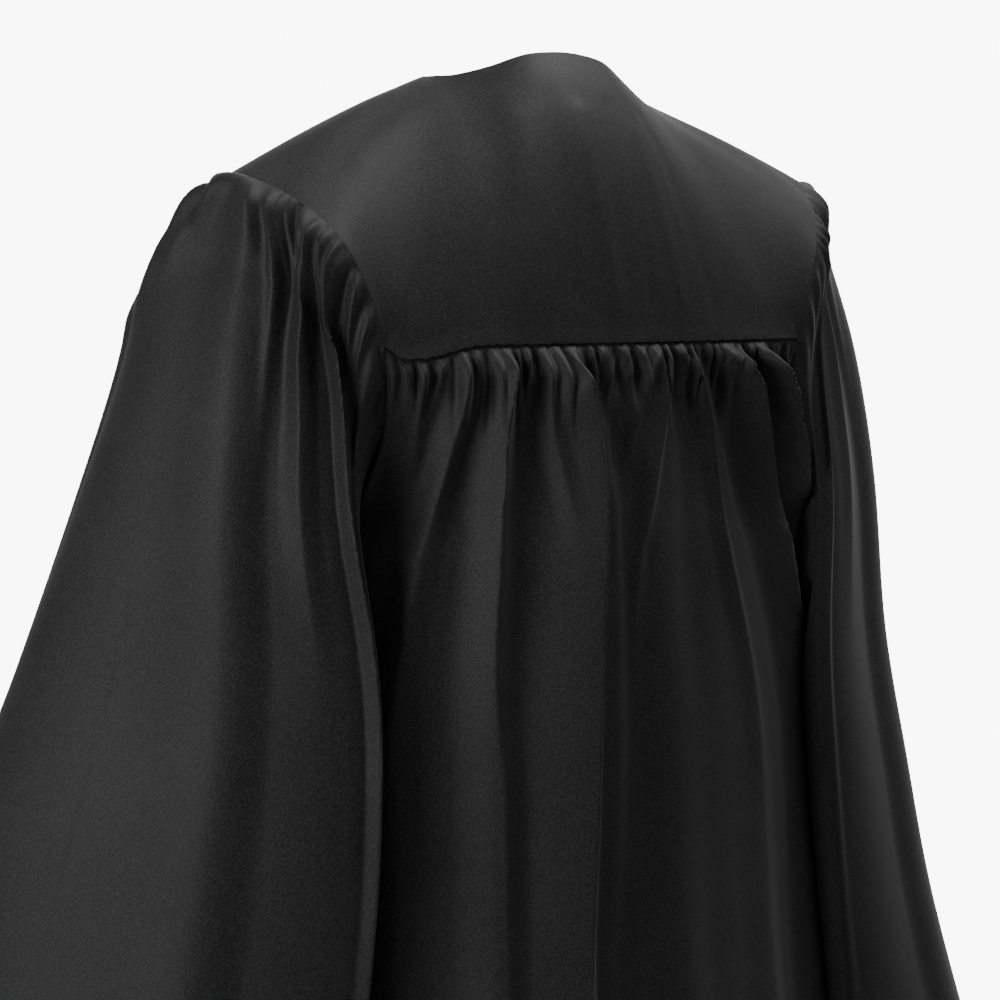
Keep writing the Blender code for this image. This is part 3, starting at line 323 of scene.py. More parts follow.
# Folds of a sleeve, by share of the way round it: 0 the shoulder, then the back, the underarm and the front
SLEEVE_FOLDS = (
    # name, places, height, width+, width-, crisp, full, end
    ("s0", (-0.01, -0.035, -0.056, -0.06), 0.0055, 0.02, 0.02, 0.4, 0.015, 0.12),
    ("s1", (0.015, -0.008, -0.028, -0.035), 0.0055, 0.016, 0.016, 0.5, 0.015, 0.09),
    ("s2", (0.052, 0.044, 0.037, 0.036, 0.037, 0.041, 0.045, 0.049, 0.052),
     0.01, 0.04, 0.045, 0.2, 0.02, 9.0),
    ("s2b", (0.046, 0.038, 0.03, 0.029, 0.03, 0.032), 0.0045, 0.012, 0.03, 0.5, 0.015, 0.17),
    ("s4", (0.062, 0.061, 0.054, 0.059, 0.062, 0.065, 0.07, 0.075), 0.01, 0.026, 0.009, 0.9, 0.015, 0.2),
    ("s5", (0.116, 0.112, 0.1, 0.105, 0.116, 0.122, 0.128, 0.13), 0.015, 0.028, 0.032, 0.8, 0.015, 0.34),
    ("s6", (0.145, 0.148, 0.148, 0.185, 0.206, 0.218, 0.226, 0.232, 0.236),
     0.013, 0.018, 0.028, 0.6, 0.02, 1.2),
    ("s7", (0.18, 0.192, 0.201, 0.204, 0.206), 0.006, 0.01, 0.016, 0.6, 0.012, 0.06),
    ("s7b", (0.212, 0.219, 0.225, 0.228), 0.006, 0.01, 0.012, 0.6, 0.012, 0.05),
    ("s8", (0.24, 0.258, 0.265, 0.268, 0.27), 0.003, 0.022, 0.026, 0.4, 0.02, 0.5),
    ("front2", (0.9, 0.899, 0.898, 0.896, 0.894, 0.892, 0.89, 0.887, 0.885),
     0.008, 0.024, 0.03, 0.5, 0.03, 0.6),
    ("front3", (0.845, 0.844, 0.842, 0.84, 0.838, 0.836, 0.834, 0.832, 0.83),
     0.008, 0.03, 0.03, 0.5, 0.03, 9.0),
    ("front4", (0.78, 0.779, 0.778, 0.776, 0.774, 0.772, 0.77), 0.007, 0.026, 0.03, 0.4, 0.03, 0.4),
    ("front5", (0.705, 0.703, 0.7, 0.698, 0.695, 0.692, 0.69, 0.688, 0.685),
     0.005, 0.03, 0.034, 0.3, 0.04, 9.0),
)

# Where the threads from each place of the armhole hang on the sleeve's oval
SLEEVE_TURNS = (
    # share  degrees round the oval from its front tip, by the outside to the back
    (-0.155, -22.0),
    (-0.072, 15.0),
    (0.000, 72.0),
    (0.030, 95.0),
    (0.060, 114.0),
    (0.105, 130.0),
    (0.150, 148.0),
    (0.200, 162.0),
    (0.252, 174.0),
    (0.325, 188.0),
    (0.417, 209.0),
    (0.504, 232.0),
    (0.594, 257.0),
    (0.689, 286.0),
    (0.766, 310.0),
    (0.845, 338.0),
    (0.928, 375.0),
    (1.000, 432.0),
    (1.030, 455.0),
)


def gather_places(count, seed):
    """Places from 0 to 1 of the gathers' ridges and the dips between them, unevenly spaced."""
    steps = np.array([1.0 + 0.72 * uneven(i, seed) for i in range(2 * count)])
    return np.concatenate(([0.0], np.cumsum(steps) / steps.sum()))


GATHER_SINK = 0.010  # distance below a seam at which the gathers are fullest
BACK_GATHERS = 30
SLEEVE_GATHERS = 34
FRONT_GATHERS = 7
GATHER_HEIGHT = 0.0023
GATHER_LENGTH = 0.045
HEIGHT_SPREAD = 0.75  # how much one gather differs from another in height, and in length
LENGTH_SPREAD = 0.70
CREST_POWER = 1.7  # sharpness of a crisp fold's crest and of a gather's ridge
FRONT_SEAM_GAP = 0.0006  # space at the curved seam between the yoke and a front
FRONT_LEVEL = -0.215  # height from which the front panel follows the level sections of the body
FRONT_SEAM_WAY = (0.0, -0.55, -0.83)  # direction of that space
NECK_SHARE = 0.42  # share of the front's top edge that is the V neck, the rest joins the yoke
NECK_BOW = (0.004, -0.010, 0.0)  # how far the V neck's edge bows out from a straight line


def front_top(across):
    """Top edge of the left front: up the V neck from the zip, then along the yoke's front end."""
    gap = FRONT_SEAM_GAP * unit(np.array(FRONT_SEAM_WAY))
    if across >= NECK_SHARE:
        return yoke_point(1.0, (across - NECK_SHARE) / (1.0 - NECK_SHARE)) + gap
    low = np.array([0.0, -smooth_row(BODY, V_DEPTH)[2], V_DEPTH])
    high = yoke_point(1.0, 0.0) + gap
    t = across / NECK_SHARE
    return low + (high - low) * t + np.array(NECK_BOW) * math.sin(math.pi * t)


def sleeve_section(height, share):
    """Point of the sleeve's level oval at a share of the way round."""
    middle_x, middle_y, long, outer, inner, turn = smooth_row(SLEEVE, height)
    angle = math.radians(smooth_row(SLEEVE_TURNS, share)[0])
    lengthwise = np.array([math.cos(math.radians(turn)), -math.sin(math.radians(turn))])
    outwards = np.array([math.sin(math.radians(turn)), math.cos(math.radians(turn))])
    short = outer if math.sin(angle) > 0 else inner
    middle = np.array([middle_x, middle_y])
    x, y = middle + long * math.cos(angle) * lengthwise + short * math.sin(angle) * outwards
    return np.array([x, y, height])


HEAD_CROWDING = 0.060  # how much closer the gathers stand behind the shoulder than in front
HEAD_CROWDED_AT = 0.110  # share of the armhole where they stand closest
HEAD_DROP = 0.065  # how far the sleeve falls from its seam before it hangs on its level ovals
HEAD_PUFF = 0.038  # how strongly the head stands out from the armhole
FRONT_PUFF = 0.055  # how much more strongly it does in front of the shoulder
FRONT_PUFF_AT = -0.060  # share of the armhole where that is most, and how far it reaches
FRONT_PUFF_REACH = 0.110


def run_lengths(grid, axis):
    """Distances down a grid's columns (axis 0) or along its rows (axis 1), from their first points."""
    steps = np.cumsum(np.linalg.norm(np.diff(grid, axis=axis), axis=2), axis=axis)
    return np.concatenate((np.zeros_like(steps[:1] if axis == 0 else steps[:, :1]), steps), axis=axis)


def soft_bump(share, power=1.2):
    """Soft ridge of height 1 at 0, gone at 1 to either side."""
    share = np.clip(np.abs(share), 0.0, 1.0)
    return (0.5 + 0.5 * np.cos(np.pi * share)) ** power


CRISP = 0.35  # folds crisper than this are the ones that crisp_depth makes shallower


def folds_on(folds, place, down, round_the_tube=False, crisp_depth=1.0):
    """Height of all folds of a piece, on arrays of places and distances below the seam.

    A crisp fold has a sharp crest, a soft one a round crest, and each side has its own width.
    """
    total = np.zeros(np.broadcast(place, down).shape)
    for _name, places, ridge, plus, minus, crisp, full, end in folds:
        distance = place - np.interp(down, FOLD_STATIONS[:len(places)], places)
        if round_the_tube:
            distance = (distance + 0.5) % 1.0 - 0.5
        share = np.clip(np.abs(distance) / np.where(distance > 0, plus, minus), 0.0, 1.0)
        shape = (1.0 - crisp) * soft_bump(share) + crisp * (1.0 - share) ** CREST_POWER
        shown = rise(down / full) * (1.0 - rise((down - full) / max(end - full, 1e-6)))
        total += ridge * shape * shown * (crisp_depth if crisp > CRISP else 1.0)
    return total


def gathers_on(places, u, down, height, length, seed):
    """Fine gathers: smooth waves between ridges and dips of uneven spacing, depth and length."""
    index = np.interp(u, places, np.arange(len(places)))
    low = np.floor(index).astype(int)
    share = index - low
    blend = 0.5 - 0.5 * np.cos(np.pi * share)
    blend = np.where(low % 2 == 0, blend ** CREST_POWER, 1.0 - (1.0 - blend) ** CREST_POWER)
    total = np.zeros_like(down)
    numbers = range(len(places) + 2)
    lengths = np.array([length * (1.0 + LENGTH_SPREAD * uneven(i // 2, seed + 1.0)) for i in numbers])
    heights = np.array([height * (1.0 + HEIGHT_SPREAD * uneven(i, seed + 2.0)) for i in numbers])
    for step, weight in ((0, 1.0 - blend), (1, blend)):
        i = low + step
        sign = np.where(i % 2 == 0, 1.0, -1.0)
        fall = 1.0 - rise((down - GATHER_SINK) / lengths[i])
        total += weight * sign * heights[i] * rise(down / GATHER_SINK) * fall
    return total


SHELL = 0.0011  # thickness of the cloth that shows
SHARP_ANGLE = 70  # degrees between two faces from which their edge shows sharp
BODY_NAME = "gown"  # rigid body that all the cloth rides on


def new_object(name, data):
    """New object in the scene."""
    thing = bpy.data.objects.new(name, data)
    bpy.context.scene.collection.objects.link(thing)
    return thing


def add_mesh(name, data):
    """Object of a mesh, riding on the gown."""
    thing = new_object(name, data)
    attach(thing, BODY_NAME)
    return thing


def shell(name, outer, normals, material, uv, closed_across=False):
    """Thin closed shell of cloth under a grid of outer points, with its threads' directions as UVs."""
    rows, columns = outer.shape[:2]
    inner = outer - SHELL * normals
    points = np.concatenate((outer.reshape(-1, 3), inner.reshape(-1, 3)))
    index = np.arange(rows * columns).reshape(rows, columns)
    last = columns if closed_across else columns - 1
    a = index[:, :last]
    b = np.roll(index, -1, axis=1)[:, :last]
    below = rows * columns
    outer_faces = np.stack((a[:-1], a[1:], b[1:], b[:-1]), axis=-1).reshape(-1, 4)
    inner_faces = outer_faces[:, ::-1] + below
    rim = [np.stack((a[0], b[0], b[0] + below, a[0] + below), axis=-1),
           np.stack((a[-1], a[-1] + below, b[-1] + below, b[-1]), axis=-1)]
    if not closed_across:
        left, right = index[:, 0], index[:, -1]
        rim.append(np.stack((left[:-1], left[:-1] + below, left[1:] + below, left[1:]), axis=-1))
        rim.append(np.stack((right[:-1], right[1:], right[1:] + below, right[:-1] + below), axis=-1))
    faces = np.concatenate([outer_faces, inner_faces] + rim)
    # the outer side is the one that the normals point to
    probe = outer_faces[len(outer_faces) // 2]
    p = points[probe]
    face_normal = np.cross(p[1] - p[0], p[3] - p[0])
    if np.dot(face_normal, normals.reshape(-1, 3)[probe[0]]) < 0:
        faces = faces[:, ::-1]
    data = bpy.data.meshes.new(name)
    data.from_pydata(points.tolist(), [], faces.tolist())
    flat = np.tile(uv.reshape(-1, 2), (2, 1))
    layer = data.uv_layers.new(name="threads")
    loops = np.empty(len(data.loops), dtype=np.int32)
    data.loops.foreach_get("vertex_index", loops)
    layer.data.foreach_set("uv", flat[loops].astype(np.float32).ravel())
    data.shade_smooth()
    data.set_sharp_from_angle(angle=math.radians(SHARP_ANGLE))
    data.materials.append(material)
    data.validate()
    return add_mesh(name, data)


def thread_uv(grid):
    """Distances along the two thread directions of a grid in metres, the second one up from its last row."""
    down = run_lengths(grid, 0)
    down = down - down[-1:]
    across = run_lengths(grid, 1)
    middle = across[:, across.shape[1] // 2][:, None]
    return np.stack((across - middle, -down), axis=-1)


def spaced_rows(reach, first, last):
    """Distances from 0 to reach whose steps grow evenly from first to last."""
    count = int(round(2 * reach / (first + last)))
    steps = np.linspace(first, last, count)
    rows = np.concatenate(([0.0], np.cumsum(steps)))
    return rows * reach / rows[-1]


# Short puckers right under a gathered seam, from the pull of its thread
PUCKER_PITCH = 0.0046  # mean distance from one to the next
PUCKER_HEIGHT = 0.0005
PUCKER_START = 0.0025  # distance below the seam over which they rise
PUCKER_FULL = 0.002  # distance below it from which they fade
PUCKER_REACH = 0.010


def puckers(u, down, pitch, height, seed):
    """Very fine tucks along a gathered seam, each with its own width, depth and length."""
    turn = u / pitch
    wave = np.sin(turn * 2 * np.pi + 2.2 * np.sin(turn * 1.37 + seed) + 1.3 * np.sin(turn * 0.43 + 2 * seed))
    own = 0.65 + 0.35 * np.sin(turn * 0.91 + 3.0 * seed)
    reach = PUCKER_REACH * (0.75 + 0.45 * np.sin(turn * 0.67 + 5.0 * seed))
    return height * own * wave * rise(down / PUCKER_START) * (1.0 - rise((down - PUCKER_FULL) / reach))


ALL = slice(None)


def square_normals(normals, rows, columns, axis):
    """Turn some normals square to an axis, so that the shell's edge there is cut straight."""
    normals[rows, columns, axis] = 0.0
    normals[rows, columns] = unit(normals[rows, columns])


# Cloth of the yoke
CREASE_FADES = (0.12, 0.10)  # shares of the way at its outer and neck edges over which the creases rise
YOKE_COLUMNS = 161  # columns from the yoke's middle to its front end
CORNER_COLUMN = 49  # the one of them at the yoke's corner
YOKE_STEPS = (0.006, 0.022)  # first and last step in from the outer edge, as shares of the way to the neck
MIDDLE_ROUNDING = (16, 40)  # columns to either side that are evened out, and how many times
CORNER_ROUNDING = (34, 260)
SEAM_RIDGE = 0.0005  # height of the ridge above the back seam, where its edges are turned up


def yoke_grid(alongs, outs):
    """Grid of the smooth yoke, rows out from the neck and columns from the right front to the left front."""
    columns = []
    for along in alongs:
        columns.append(yoke_point(abs(along), outs[:, None]) * (MIRROR if along < 0 else 1.0))
    return np.stack(columns, axis=1)


# Soft creases of the yoke: from one place to another by along and out, half width and height in metres
YOKE_CREASES = (
    # name, along1, out1, along2, out2, width, height
    ("middle", 0.020, 0.30, -0.005, 0.97, 0.014, 0.0026),
    ("middle_l", 0.060, 0.16, 0.030, 0.60, 0.022, 0.0012),
    ("valley_l", 0.110, 0.25, 0.085, 0.95, 0.024, -0.0010),
    ("streak_l", 0.180, 0.30, 0.165, 0.95, 0.016, 0.0009),
    ("dent", 0.330, 0.10, 0.230, 0.62, 0.030, -0.0012),
    ("blade_l", 0.300, 0.45, 0.340, 0.95, 0.030, 0.0008),
    ("streak_a", -0.070, 0.25, -0.085, 0.95, 0.010, -0.0012),
    ("streak_b", -0.120, 0.35, -0.150, 0.95, 0.010, 0.0012),
    ("streak_c", -0.180, 0.25, -0.215, 0.93, 0.011, -0.0012),
    ("blade_r", -0.260, 0.40, -0.320, 0.90, 0.026, 0.0008),
    ("side_r", -0.440, 0.35, -0.390, 0.92, 0.022, -0.0007),
    ("neck_l", 0.420, 0.06, 0.560, 0.60, 0.024, 0.0010),
    ("neck_r", -0.400, 0.06, -0.520, 0.55, 0.024, 0.0010),
    ("top_l", 0.640, 0.15, 0.640, 0.85, 0.022, -0.0010),
    ("top_r", -0.640, 0.15, -0.640, 0.85, 0.022, -0.0010),
    ("front_l", 0.860, 0.15, 0.820, 0.90, 0.020, 0.0016),
    ("front_r", -0.860, 0.15, -0.820, 0.90, 0.020, 0.0016),
)


def crease_height(grid, alongs, outs, creases):
    """Height of soft straight creases on a grid, each from one place on it to another."""
    total = np.zeros(grid.shape[:2])
    for _name, along1, out1, along2, out2, width, height in creases:
        ends = []
        for along, out in ((along1, out1), (along2, out2)):
            ends.append(grid[int(np.abs(outs - out).argmin()), int(np.abs(alongs - along).argmin())])
        line = ends[1] - ends[0]
        length = np.linalg.norm(line)
        t = np.clip((grid - ends[0]) @ line / length ** 2, 0.0, 1.0)
        distance = np.linalg.norm(grid - (ends[0] + t[..., None] * line), axis=2)
        total += height * soft_bump(distance / width) * (0.35 + 0.65 * np.sin(np.pi * np.clip(t, 0.06, 0.94)))
    return total


NECK_TILT = 0.004  # how much higher the neck edge stands on the wearer's left than in the middle


def rounded(grid, column, reach, rounds, rows):
    """Even out a grid near one column, where its surface has a corner, by as much as each row's weight."""
    part = slice(column - reach, column + reach + 1)
    strength = rise(1.0 - np.abs(np.arange(-reach, reach + 1)) / reach)[None, :, None] * rows[:, None, None]
    for _ in range(rounds):
        around = (np.roll(grid, 1, axis=1) + np.roll(grid, -1, axis=1)) / 2
        grid[:, part] += 0.5 * strength * (around[:, part] - grid[:, part])
    return grid


def make_yoke_cloth(material):
    """Cloth of the yoke, and the grid of its outer points."""
    half = np.concatenate((np.linspace(0, YOKE_CORNER, CORNER_COLUMN + 1),
                           np.linspace(YOKE_CORNER, 1, YOKE_COLUMNS - CORNER_COLUMN)[1:]))
    alongs = np.concatenate((-half[:0:-1], half))
    outs = 1.0 - spaced_rows(1.0, *YOKE_STEPS)[::-1]
    grid = yoke_grid(alongs, outs)
    middle = len(half) - 1
    grid = rounded(grid, middle, *MIDDLE_ROUNDING, np.ones(len(outs)))
    for column in (middle - CORNER_COLUMN, middle + CORNER_COLUMN):
        grid = rounded(grid, column, *CORNER_ROUNDING, rise((1.0 - outs) / 0.10) * rise(outs / 0.15))
    grid[..., 2] += (NECK_TILT * np.clip(grid[..., 0] / 0.09, -1.0, 1.0)) * rise((1.0 - outs) / 0.8)[:, None]
    normals = grid_normals(grid)
    inside = (rise((1.0 - outs) / CREASE_FADES[0]) * rise(outs / CREASE_FADES[1]))[:, None]
    ridge = SEAM_RIDGE * soft_bump((1.0 - outs) / 0.05)[:, None] * (np.abs(alongs) < YOKE_CORNER)[None, :]
    grid = grid + normals * (crease_height(grid, alongs, outs, YOKE_CREASES) * inside + ridge)[..., None]
    seam = (np.abs(alongs) <= YOKE_CORNER + 1e-6)[None, :] * rise((outs - 0.6) / 0.4)[:, None]
    grid[..., 2] += seam_offset(grid[..., 0]) * seam
    return shell("yoke_cloth", grid, grid_normals(grid), material, thread_uv(grid)), grid


# Cloth of the back panel
BACK_COLUMNS = 400
SEAM_DEPTH = 0.0012  # how far the top of a gathered piece lies inside the piece above it
SEAM_OPENS = 0.0045  # distance over which it comes out
SEAM_SAG = -0.0085  # how far the yoke's seam sags near its left end
SEAM_SAG_AT = 0.148
SEAM_SAG_REACH = 0.055
SIDE_OVERLAP = 0.0009  # how far the back's side edges reach over the fronts'
OVERHANG_LEFT = 0.15  # bulge of the panel on the wearer's left, as a share of the one on the right
OVERHANG_FADE = 0.140  # share of the half width from the bulge's crest to its end
PANEL_SPREAD = 0.27  # distance below the seam over which the folds spread to the full width of a panel
BACK_STEPS = (0.0017, 0.0170)  # first and last step down the panel
SEAM_LIFT = 0.0008  # how far its top edge reaches up behind the yoke
BACK_EDGE = 0.035  # share of the half width at each side over which the folds rise
SCALLOP_REACH = 0.05  # distance below the seam over which the panel follows its scallops
BULGE_OUT = 0.80  # how far the bulge goes sideways and backwards, as shares of its size
BULGE_BACK = 0.60

# Bulge of the back panel's right side over the armhole's seam and the side
OVERHANG = (
    # down, size, crest's share of the half width from the edge
    (0.030, 0.000, 0.030),
    (0.065, 0.003, 0.030),
    (0.100, 0.009, 0.030),
    (0.120, 0.014, 0.035),
    (0.140, 0.017, 0.050),
    (0.160, 0.017, 0.075),
    (0.190, 0.015, 0.110),
    (0.240, 0.012, 0.140),
    (0.400, 0.012, 0.150),
    (0.900, 0.005, 0.150),
    (1.200, 0.003, 0.150),
)


def seam_offset(across):
    """How far the yoke's seam lies below its straight line, by distance across, with small scallops."""
    sag = SEAM_SAG * soft_bump((across - SEAM_SAG_AT) / SEAM_SAG_REACH) * rise((0.171 - across) / 0.014)
    wave = np.sin(across / 0.0105 * 2 * np.pi + 2.1 * np.sin(across / 0.019 + 1.0))
    wave = wave + 0.7 * np.sin(across / 0.0064 * 2 * np.pi + 1.7 * np.sin(across / 0.013))
    return sag + 0.00032 * wave * rise((0.166 - np.abs(across)) / 0.01)


def panel_places(grid, heights):
    """Places on a panel that its folds follow: distance from the centre line over a growing width."""
    middle = grid.shape[1] // 2
    run = run_lengths(grid, 1)
    run = run - (run[:, middle - 1:middle] + run[:, middle:middle + 1]) / 2
    full = []
    for height in heights:
        half_width, back, _front = smooth_row(BODY, height)
        turns = np.linspace(0.0, math.pi / 2, 60)
        full.append(np.hypot(np.diff(half_width * np.sin(turns)), np.diff(back * np.cos(turns))).sum())
    down = YOKE_SEAM - heights
    width = TOP_SPREAD["back"] + (np.array(full) - TOP_SPREAD["back"]) * rise(down / PANEL_SPREAD)
    return run / width[:, None]


def back_base():
    """Smooth grid of the back panel with its distances down, fractions across and fold places."""
    downs = spaced_rows(YOKE_SEAM - HEM - SEAM_GAP, *BACK_STEPS)
    fractions = np.linspace(-1.0, 1.0, BACK_COLUMNS)
    heights = YOKE_SEAM - SEAM_GAP - downs
    grid = np.stack([body_row(height, "back", fractions) for height in heights])
    return grid, downs, fractions, panel_places(grid, heights)


def make_back_cloth(material):
    """Cloth of the back panel, the grid of its outer points, and that grid without the bulge."""
    grid, downs, fractions, places = back_base()
    normals = grid_normals(grid)
    down = np.broadcast_to(downs[:, None], places.shape)
    u = np.broadcast_to((fractions[None, :] + 1.0) / 2.0, places.shape)
    side = 1.0 - np.abs(2.0 * u - 1.0)
    height = folds_on(BACK_CREASES, places, down)
    height = height + gathers_on(gather_places(BACK_GATHERS, 3.0), u, down, GATHER_HEIGHT, GATHER_LENGTH, 3.0)
    height = height + puckers(u * 2 * TOP_SPREAD["back"], down, PUCKER_PITCH, PUCKER_HEIGHT, 1.0)
    height = height * rise(side / BACK_EDGE)
    height = height - SEAM_DEPTH * (1.0 - rise(down / SEAM_OPENS))
    grid = grid + normals * height[..., None]
    plain = grid
    grid = grid.copy()
    below = grid[:, 0, 2] <= UNDERARM
    grid[below, 0, 1] -= SIDE_OVERLAP
    grid[below, -1, 1] -= SIDE_OVERLAP
    lengths, sizes, edges = np.array(OVERHANG).T
    crest = np.interp(down, lengths, edges)
    bulge = rise(side / crest) * (1.0 - rise((side - crest) / OVERHANG_FADE))
    bulge = bulge * np.interp(down, lengths, sizes)
    sideways = np.where(grid[..., 0] < 0, 1.0, OVERHANG_LEFT) * bulge
    grid[..., 0] += BULGE_OUT * sideways * np.sign(grid[..., 0])
    grid[..., 1] += BULGE_BACK * sideways
    grid[..., 2] += seam_offset(grid[..., 0]) * (1.0 - rise(down / SCALLOP_REACH))
    grid[0, :, 2] += SEAM_LIFT
    normals = grid_normals(grid)
    for end in (0, -1):
        square_normals(normals, grid[:, end, 2] <= UNDERARM, end, 1)
        square_normals(normals, end, ALL, 2)
    return shell("back_cloth", grid, normals, material, thread_uv(grid)), grid, plain


# Cloth of the fronts
FRONT_COLUMNS = 150
NECK_COLUMNS = 45  # the ones of them under the V neck
FRONT_TOP_STEPS = (0.020, 0.045)  # first and last step down its shaped top, as shares of the way
FRONT_STEPS = (0.004, 0.0142)  # first and last step down below that
FRONT_EDGES = (0.10, 0.08)  # shares at its zip and side edges over which the folds rise
ZIP_OVERLAP = 0.0004  # how far a front's edge goes into the zip's tape, where it is sewn


def front_grid(places, tops, heights):
    """Grid of the smooth left front: rows by share of the way down its shaped top, then by height."""
    zip_edge = ZIP_WIDTH / 2 - ZIP_OVERLAP
    top = np.array([front_top(place) for place in places])
    level = body_row(FRONT_LEVEL, "front", places)
    rows = []
    for v in tops:
        height = top[-1, 2] + (FRONT_LEVEL - top[-1, 2]) * v
        edge_x, edge_y = armhole_at(height, "front")
        shift = np.array([edge_x, edge_y, height]) - (top[-1] + (level[-1] - top[-1]) * v)
        line = top + (level - top) * v + shift * places[:, None] ** 4
        wide = np.maximum(line[:, 0], 0.1)
        line[:, 0] = zip_edge + line[:, 0] * (wide - zip_edge) / wide
        rows.append(line)
    for height in heights:
        line = body_row(height, "front", places)
        line[:, 0] = zip_edge + line[:, 0] * (line[-1, 0] - zip_edge) / line[-1, 0]
        rows.append(line)
    return np.array(rows)


def make_front_cloth(name, side, material):
    """Cloth of the left front (side 1) or the right one (-1), and its grid as if it were the left one."""
    neck = np.linspace(0, NECK_SHARE, NECK_COLUMNS + 1)
    joined = np.linspace(NECK_SHARE, 1.0, FRONT_COLUMNS - NECK_COLUMNS)
    places = np.concatenate((neck[:-1], joined))
    tops = spaced_rows(1.0, *FRONT_TOP_STEPS)
    lower = FRONT_LEVEL - spaced_rows(FRONT_LEVEL - HEM, *FRONT_STEPS)[1:]
    grid = front_grid(places, tops, lower)
    downs = run_lengths(grid, 0)
    normals = -grid_normals(grid)
    place = np.broadcast_to(places[None, :], downs.shape)
    inside = rise(place / FRONT_EDGES[0]) * rise((1.0 - place) / FRONT_EDGES[1])
    height = folds_on(FRONT_FOLDS, place, downs)
    seam = np.clip((place - NECK_SHARE) / (1.0 - NECK_SHARE), 0.0, 1.0)
    seed = 5.0 + side
    gathers = gathers_on(gather_places(FRONT_GATHERS, seed), seam, downs, GATHER_HEIGHT, GATHER_LENGTH, seed)
    height = height + gathers * rise((place - NECK_SHARE + 0.04) / 0.05)
    grid = grid + normals * (height * inside)[..., None]
    normals = -grid_normals(grid)
    square_normals(normals, grid[:, -1, 2] <= UNDERARM, -1, 1)
    square_normals(normals, ALL, 0, 0)
    square_normals(normals, -1, ALL, 2)
    grid[:, :, 0] *= side
    normals[:, :, 0] *= side
    return shell(name, grid, normals, material, thread_uv(grid)), grid * np.array([side, 1.0, 1.0])


# Cloth of the sleeves
SEAM_TUCK = 0.0012  # how far the sleeve's top edge goes in behind the edges that it is sewn to
HEAD_FALL = 1.2  # how steeply the threads fall from the seam away from the shoulder
HEAD_FALL_FROM = 0.35
CALM_AT = 0.235  # share of the armhole, behind the arm, where the gathers almost end
CALM_REACH = 0.14
CALM_BY = 0.88
UNDERARM_FOLDS = 0.25  # height of the folds at the underarm as a share of the others
UNDERARM_SPAN = (0.08, 0.10)  # shares of the armhole beside it: so low there, and then rising
RIGHT_FOLDS = 0.35  # how deep the right sleeve's crisp folds are beside the left one's
SLEEVE_COLUMNS = 320
SLEEVE_STEPS = (0.0035, 0.0135)  # first and last step down it, as shares of its length
LINE_STEPS = 40  # points on each of the two parts of a line down the sleeve
RADIUS_STEPS = 700


def radius_table(panel):
    """How far a panel reaches from the centre line, by row and by direction."""
    angles = np.linspace(0.0, math.pi / 2, RADIUS_STEPS)
    table = []
    for line in panel:
        own = np.arctan2(line[:, 0], np.abs(line[:, 1]))
        order = np.argsort(own)
        table.append(np.interp(angles, own[order], np.hypot(line[:, 0], line[:, 1])[order], right=0.0))
    return panel[:, :, 2].mean(axis=1), np.array(table)


def panel_reach(table, heights, angles):
    """Reach of a panel at arrays of heights and directions, 0 where it has none."""
    rows, radii = table
    row = np.interp(-heights, -rows, np.arange(len(rows)))
    column = np.clip(angles, 0.0, math.pi / 2) / (math.pi / 2) * (RADIUS_STEPS - 1)
    r = np.clip(np.floor(row).astype(int), 0, len(rows) - 2)
    c = np.clip(np.floor(column).astype(int), 0, RADIUS_STEPS - 2)
    t, s = row - r, column - c
    a, b, d, e = cell = [radii[r + i, c + j] for i in (0, 1) for j in (0, 1)]
    value = (a * (1 - s) + b * s) * (1 - t) + (d * (1 - s) + e * s) * t
    value = np.where(np.min(cell, axis=0) == 0.0, np.max(cell, axis=0), value)
    return np.where((heights > rows[0]) | (heights < rows[-1]), 0.0, value)


def stay_clear(grid, tables):
    """Move a sleeve's points out from the panels that they would lie in or too near."""
    angle = np.arctan2(grid[..., 0], np.abs(grid[..., 1]))
    back, front = (panel_reach(table, grid[..., 2], angle) for table in tables)
    needed = np.where(grid[..., 1] > 0, back, front)
    from_seam = np.clip(np.linalg.norm(grid - grid[:1], axis=2) / CLEARANCE_RISE, 0.0, 1.0)
    clear = CLOTH + SLEEVE_SEAM_GAP + SLEEVE_CLEARANCE * from_seam
    radius = np.hypot(grid[..., 0], grid[..., 1])
    factor = np.where((needed > 0) & (radius < needed + clear), (needed + clear) / radius, 1.0)
    factor[0] = 1.0
    grid[..., :2] *= factor[..., None]
    return grid


def smooth_tube(grid, rounds):
    """Even out a tube's rows below its first one a little, to soften the marks of moved points."""
    for _ in range(rounds):
        around = (np.roll(grid, 1, axis=1) + np.roll(grid, -1, axis=1)) / 2
        grid[2:] = 0.5 * grid[2:] + 0.5 * around[2:]
    return grid


def sleeve_line(share, wanted):
    """Points of the smooth sleeve at shares of its length, from the armhole to the cuff."""
    start = armhole(share)
    low = start[2] - HEAD_DROP
    cuff = CUFF - CUFF_TILT * math.sin(2 * math.pi * share)
    aside = 0.5 - 0.5 * math.cos(2 * math.pi * share)
    out = np.array([1.0, 0.0, 0.06 - HEAD_FALL * rise(aside / HEAD_FALL_FROM)])
    start = start - SEAM_TUCK * unit(out)
    end = sleeve_section(low, share)
    along = sleeve_section(low - 0.02, share) - end
    from_front = (share - FRONT_PUFF_AT + 0.5) % 1.0 - 0.5
    puff = HEAD_PUFF + FRONT_PUFF * soft_bump(from_front / FRONT_PUFF_REACH)
    ways = np.linspace(0, 1, LINE_STEPS)
    head = [hermite(start, out * puff, unit(along) * HEAD_DROP, end, t) for t in ways]
    tail = [sleeve_section(z, share) for z in np.linspace(low, cuff, LINE_STEPS)[1:]]
    line = np.array(head + tail)
    lengths = distances(line)
    return points_along(line, lengths, wanted * lengths[-1]), lengths[-1]


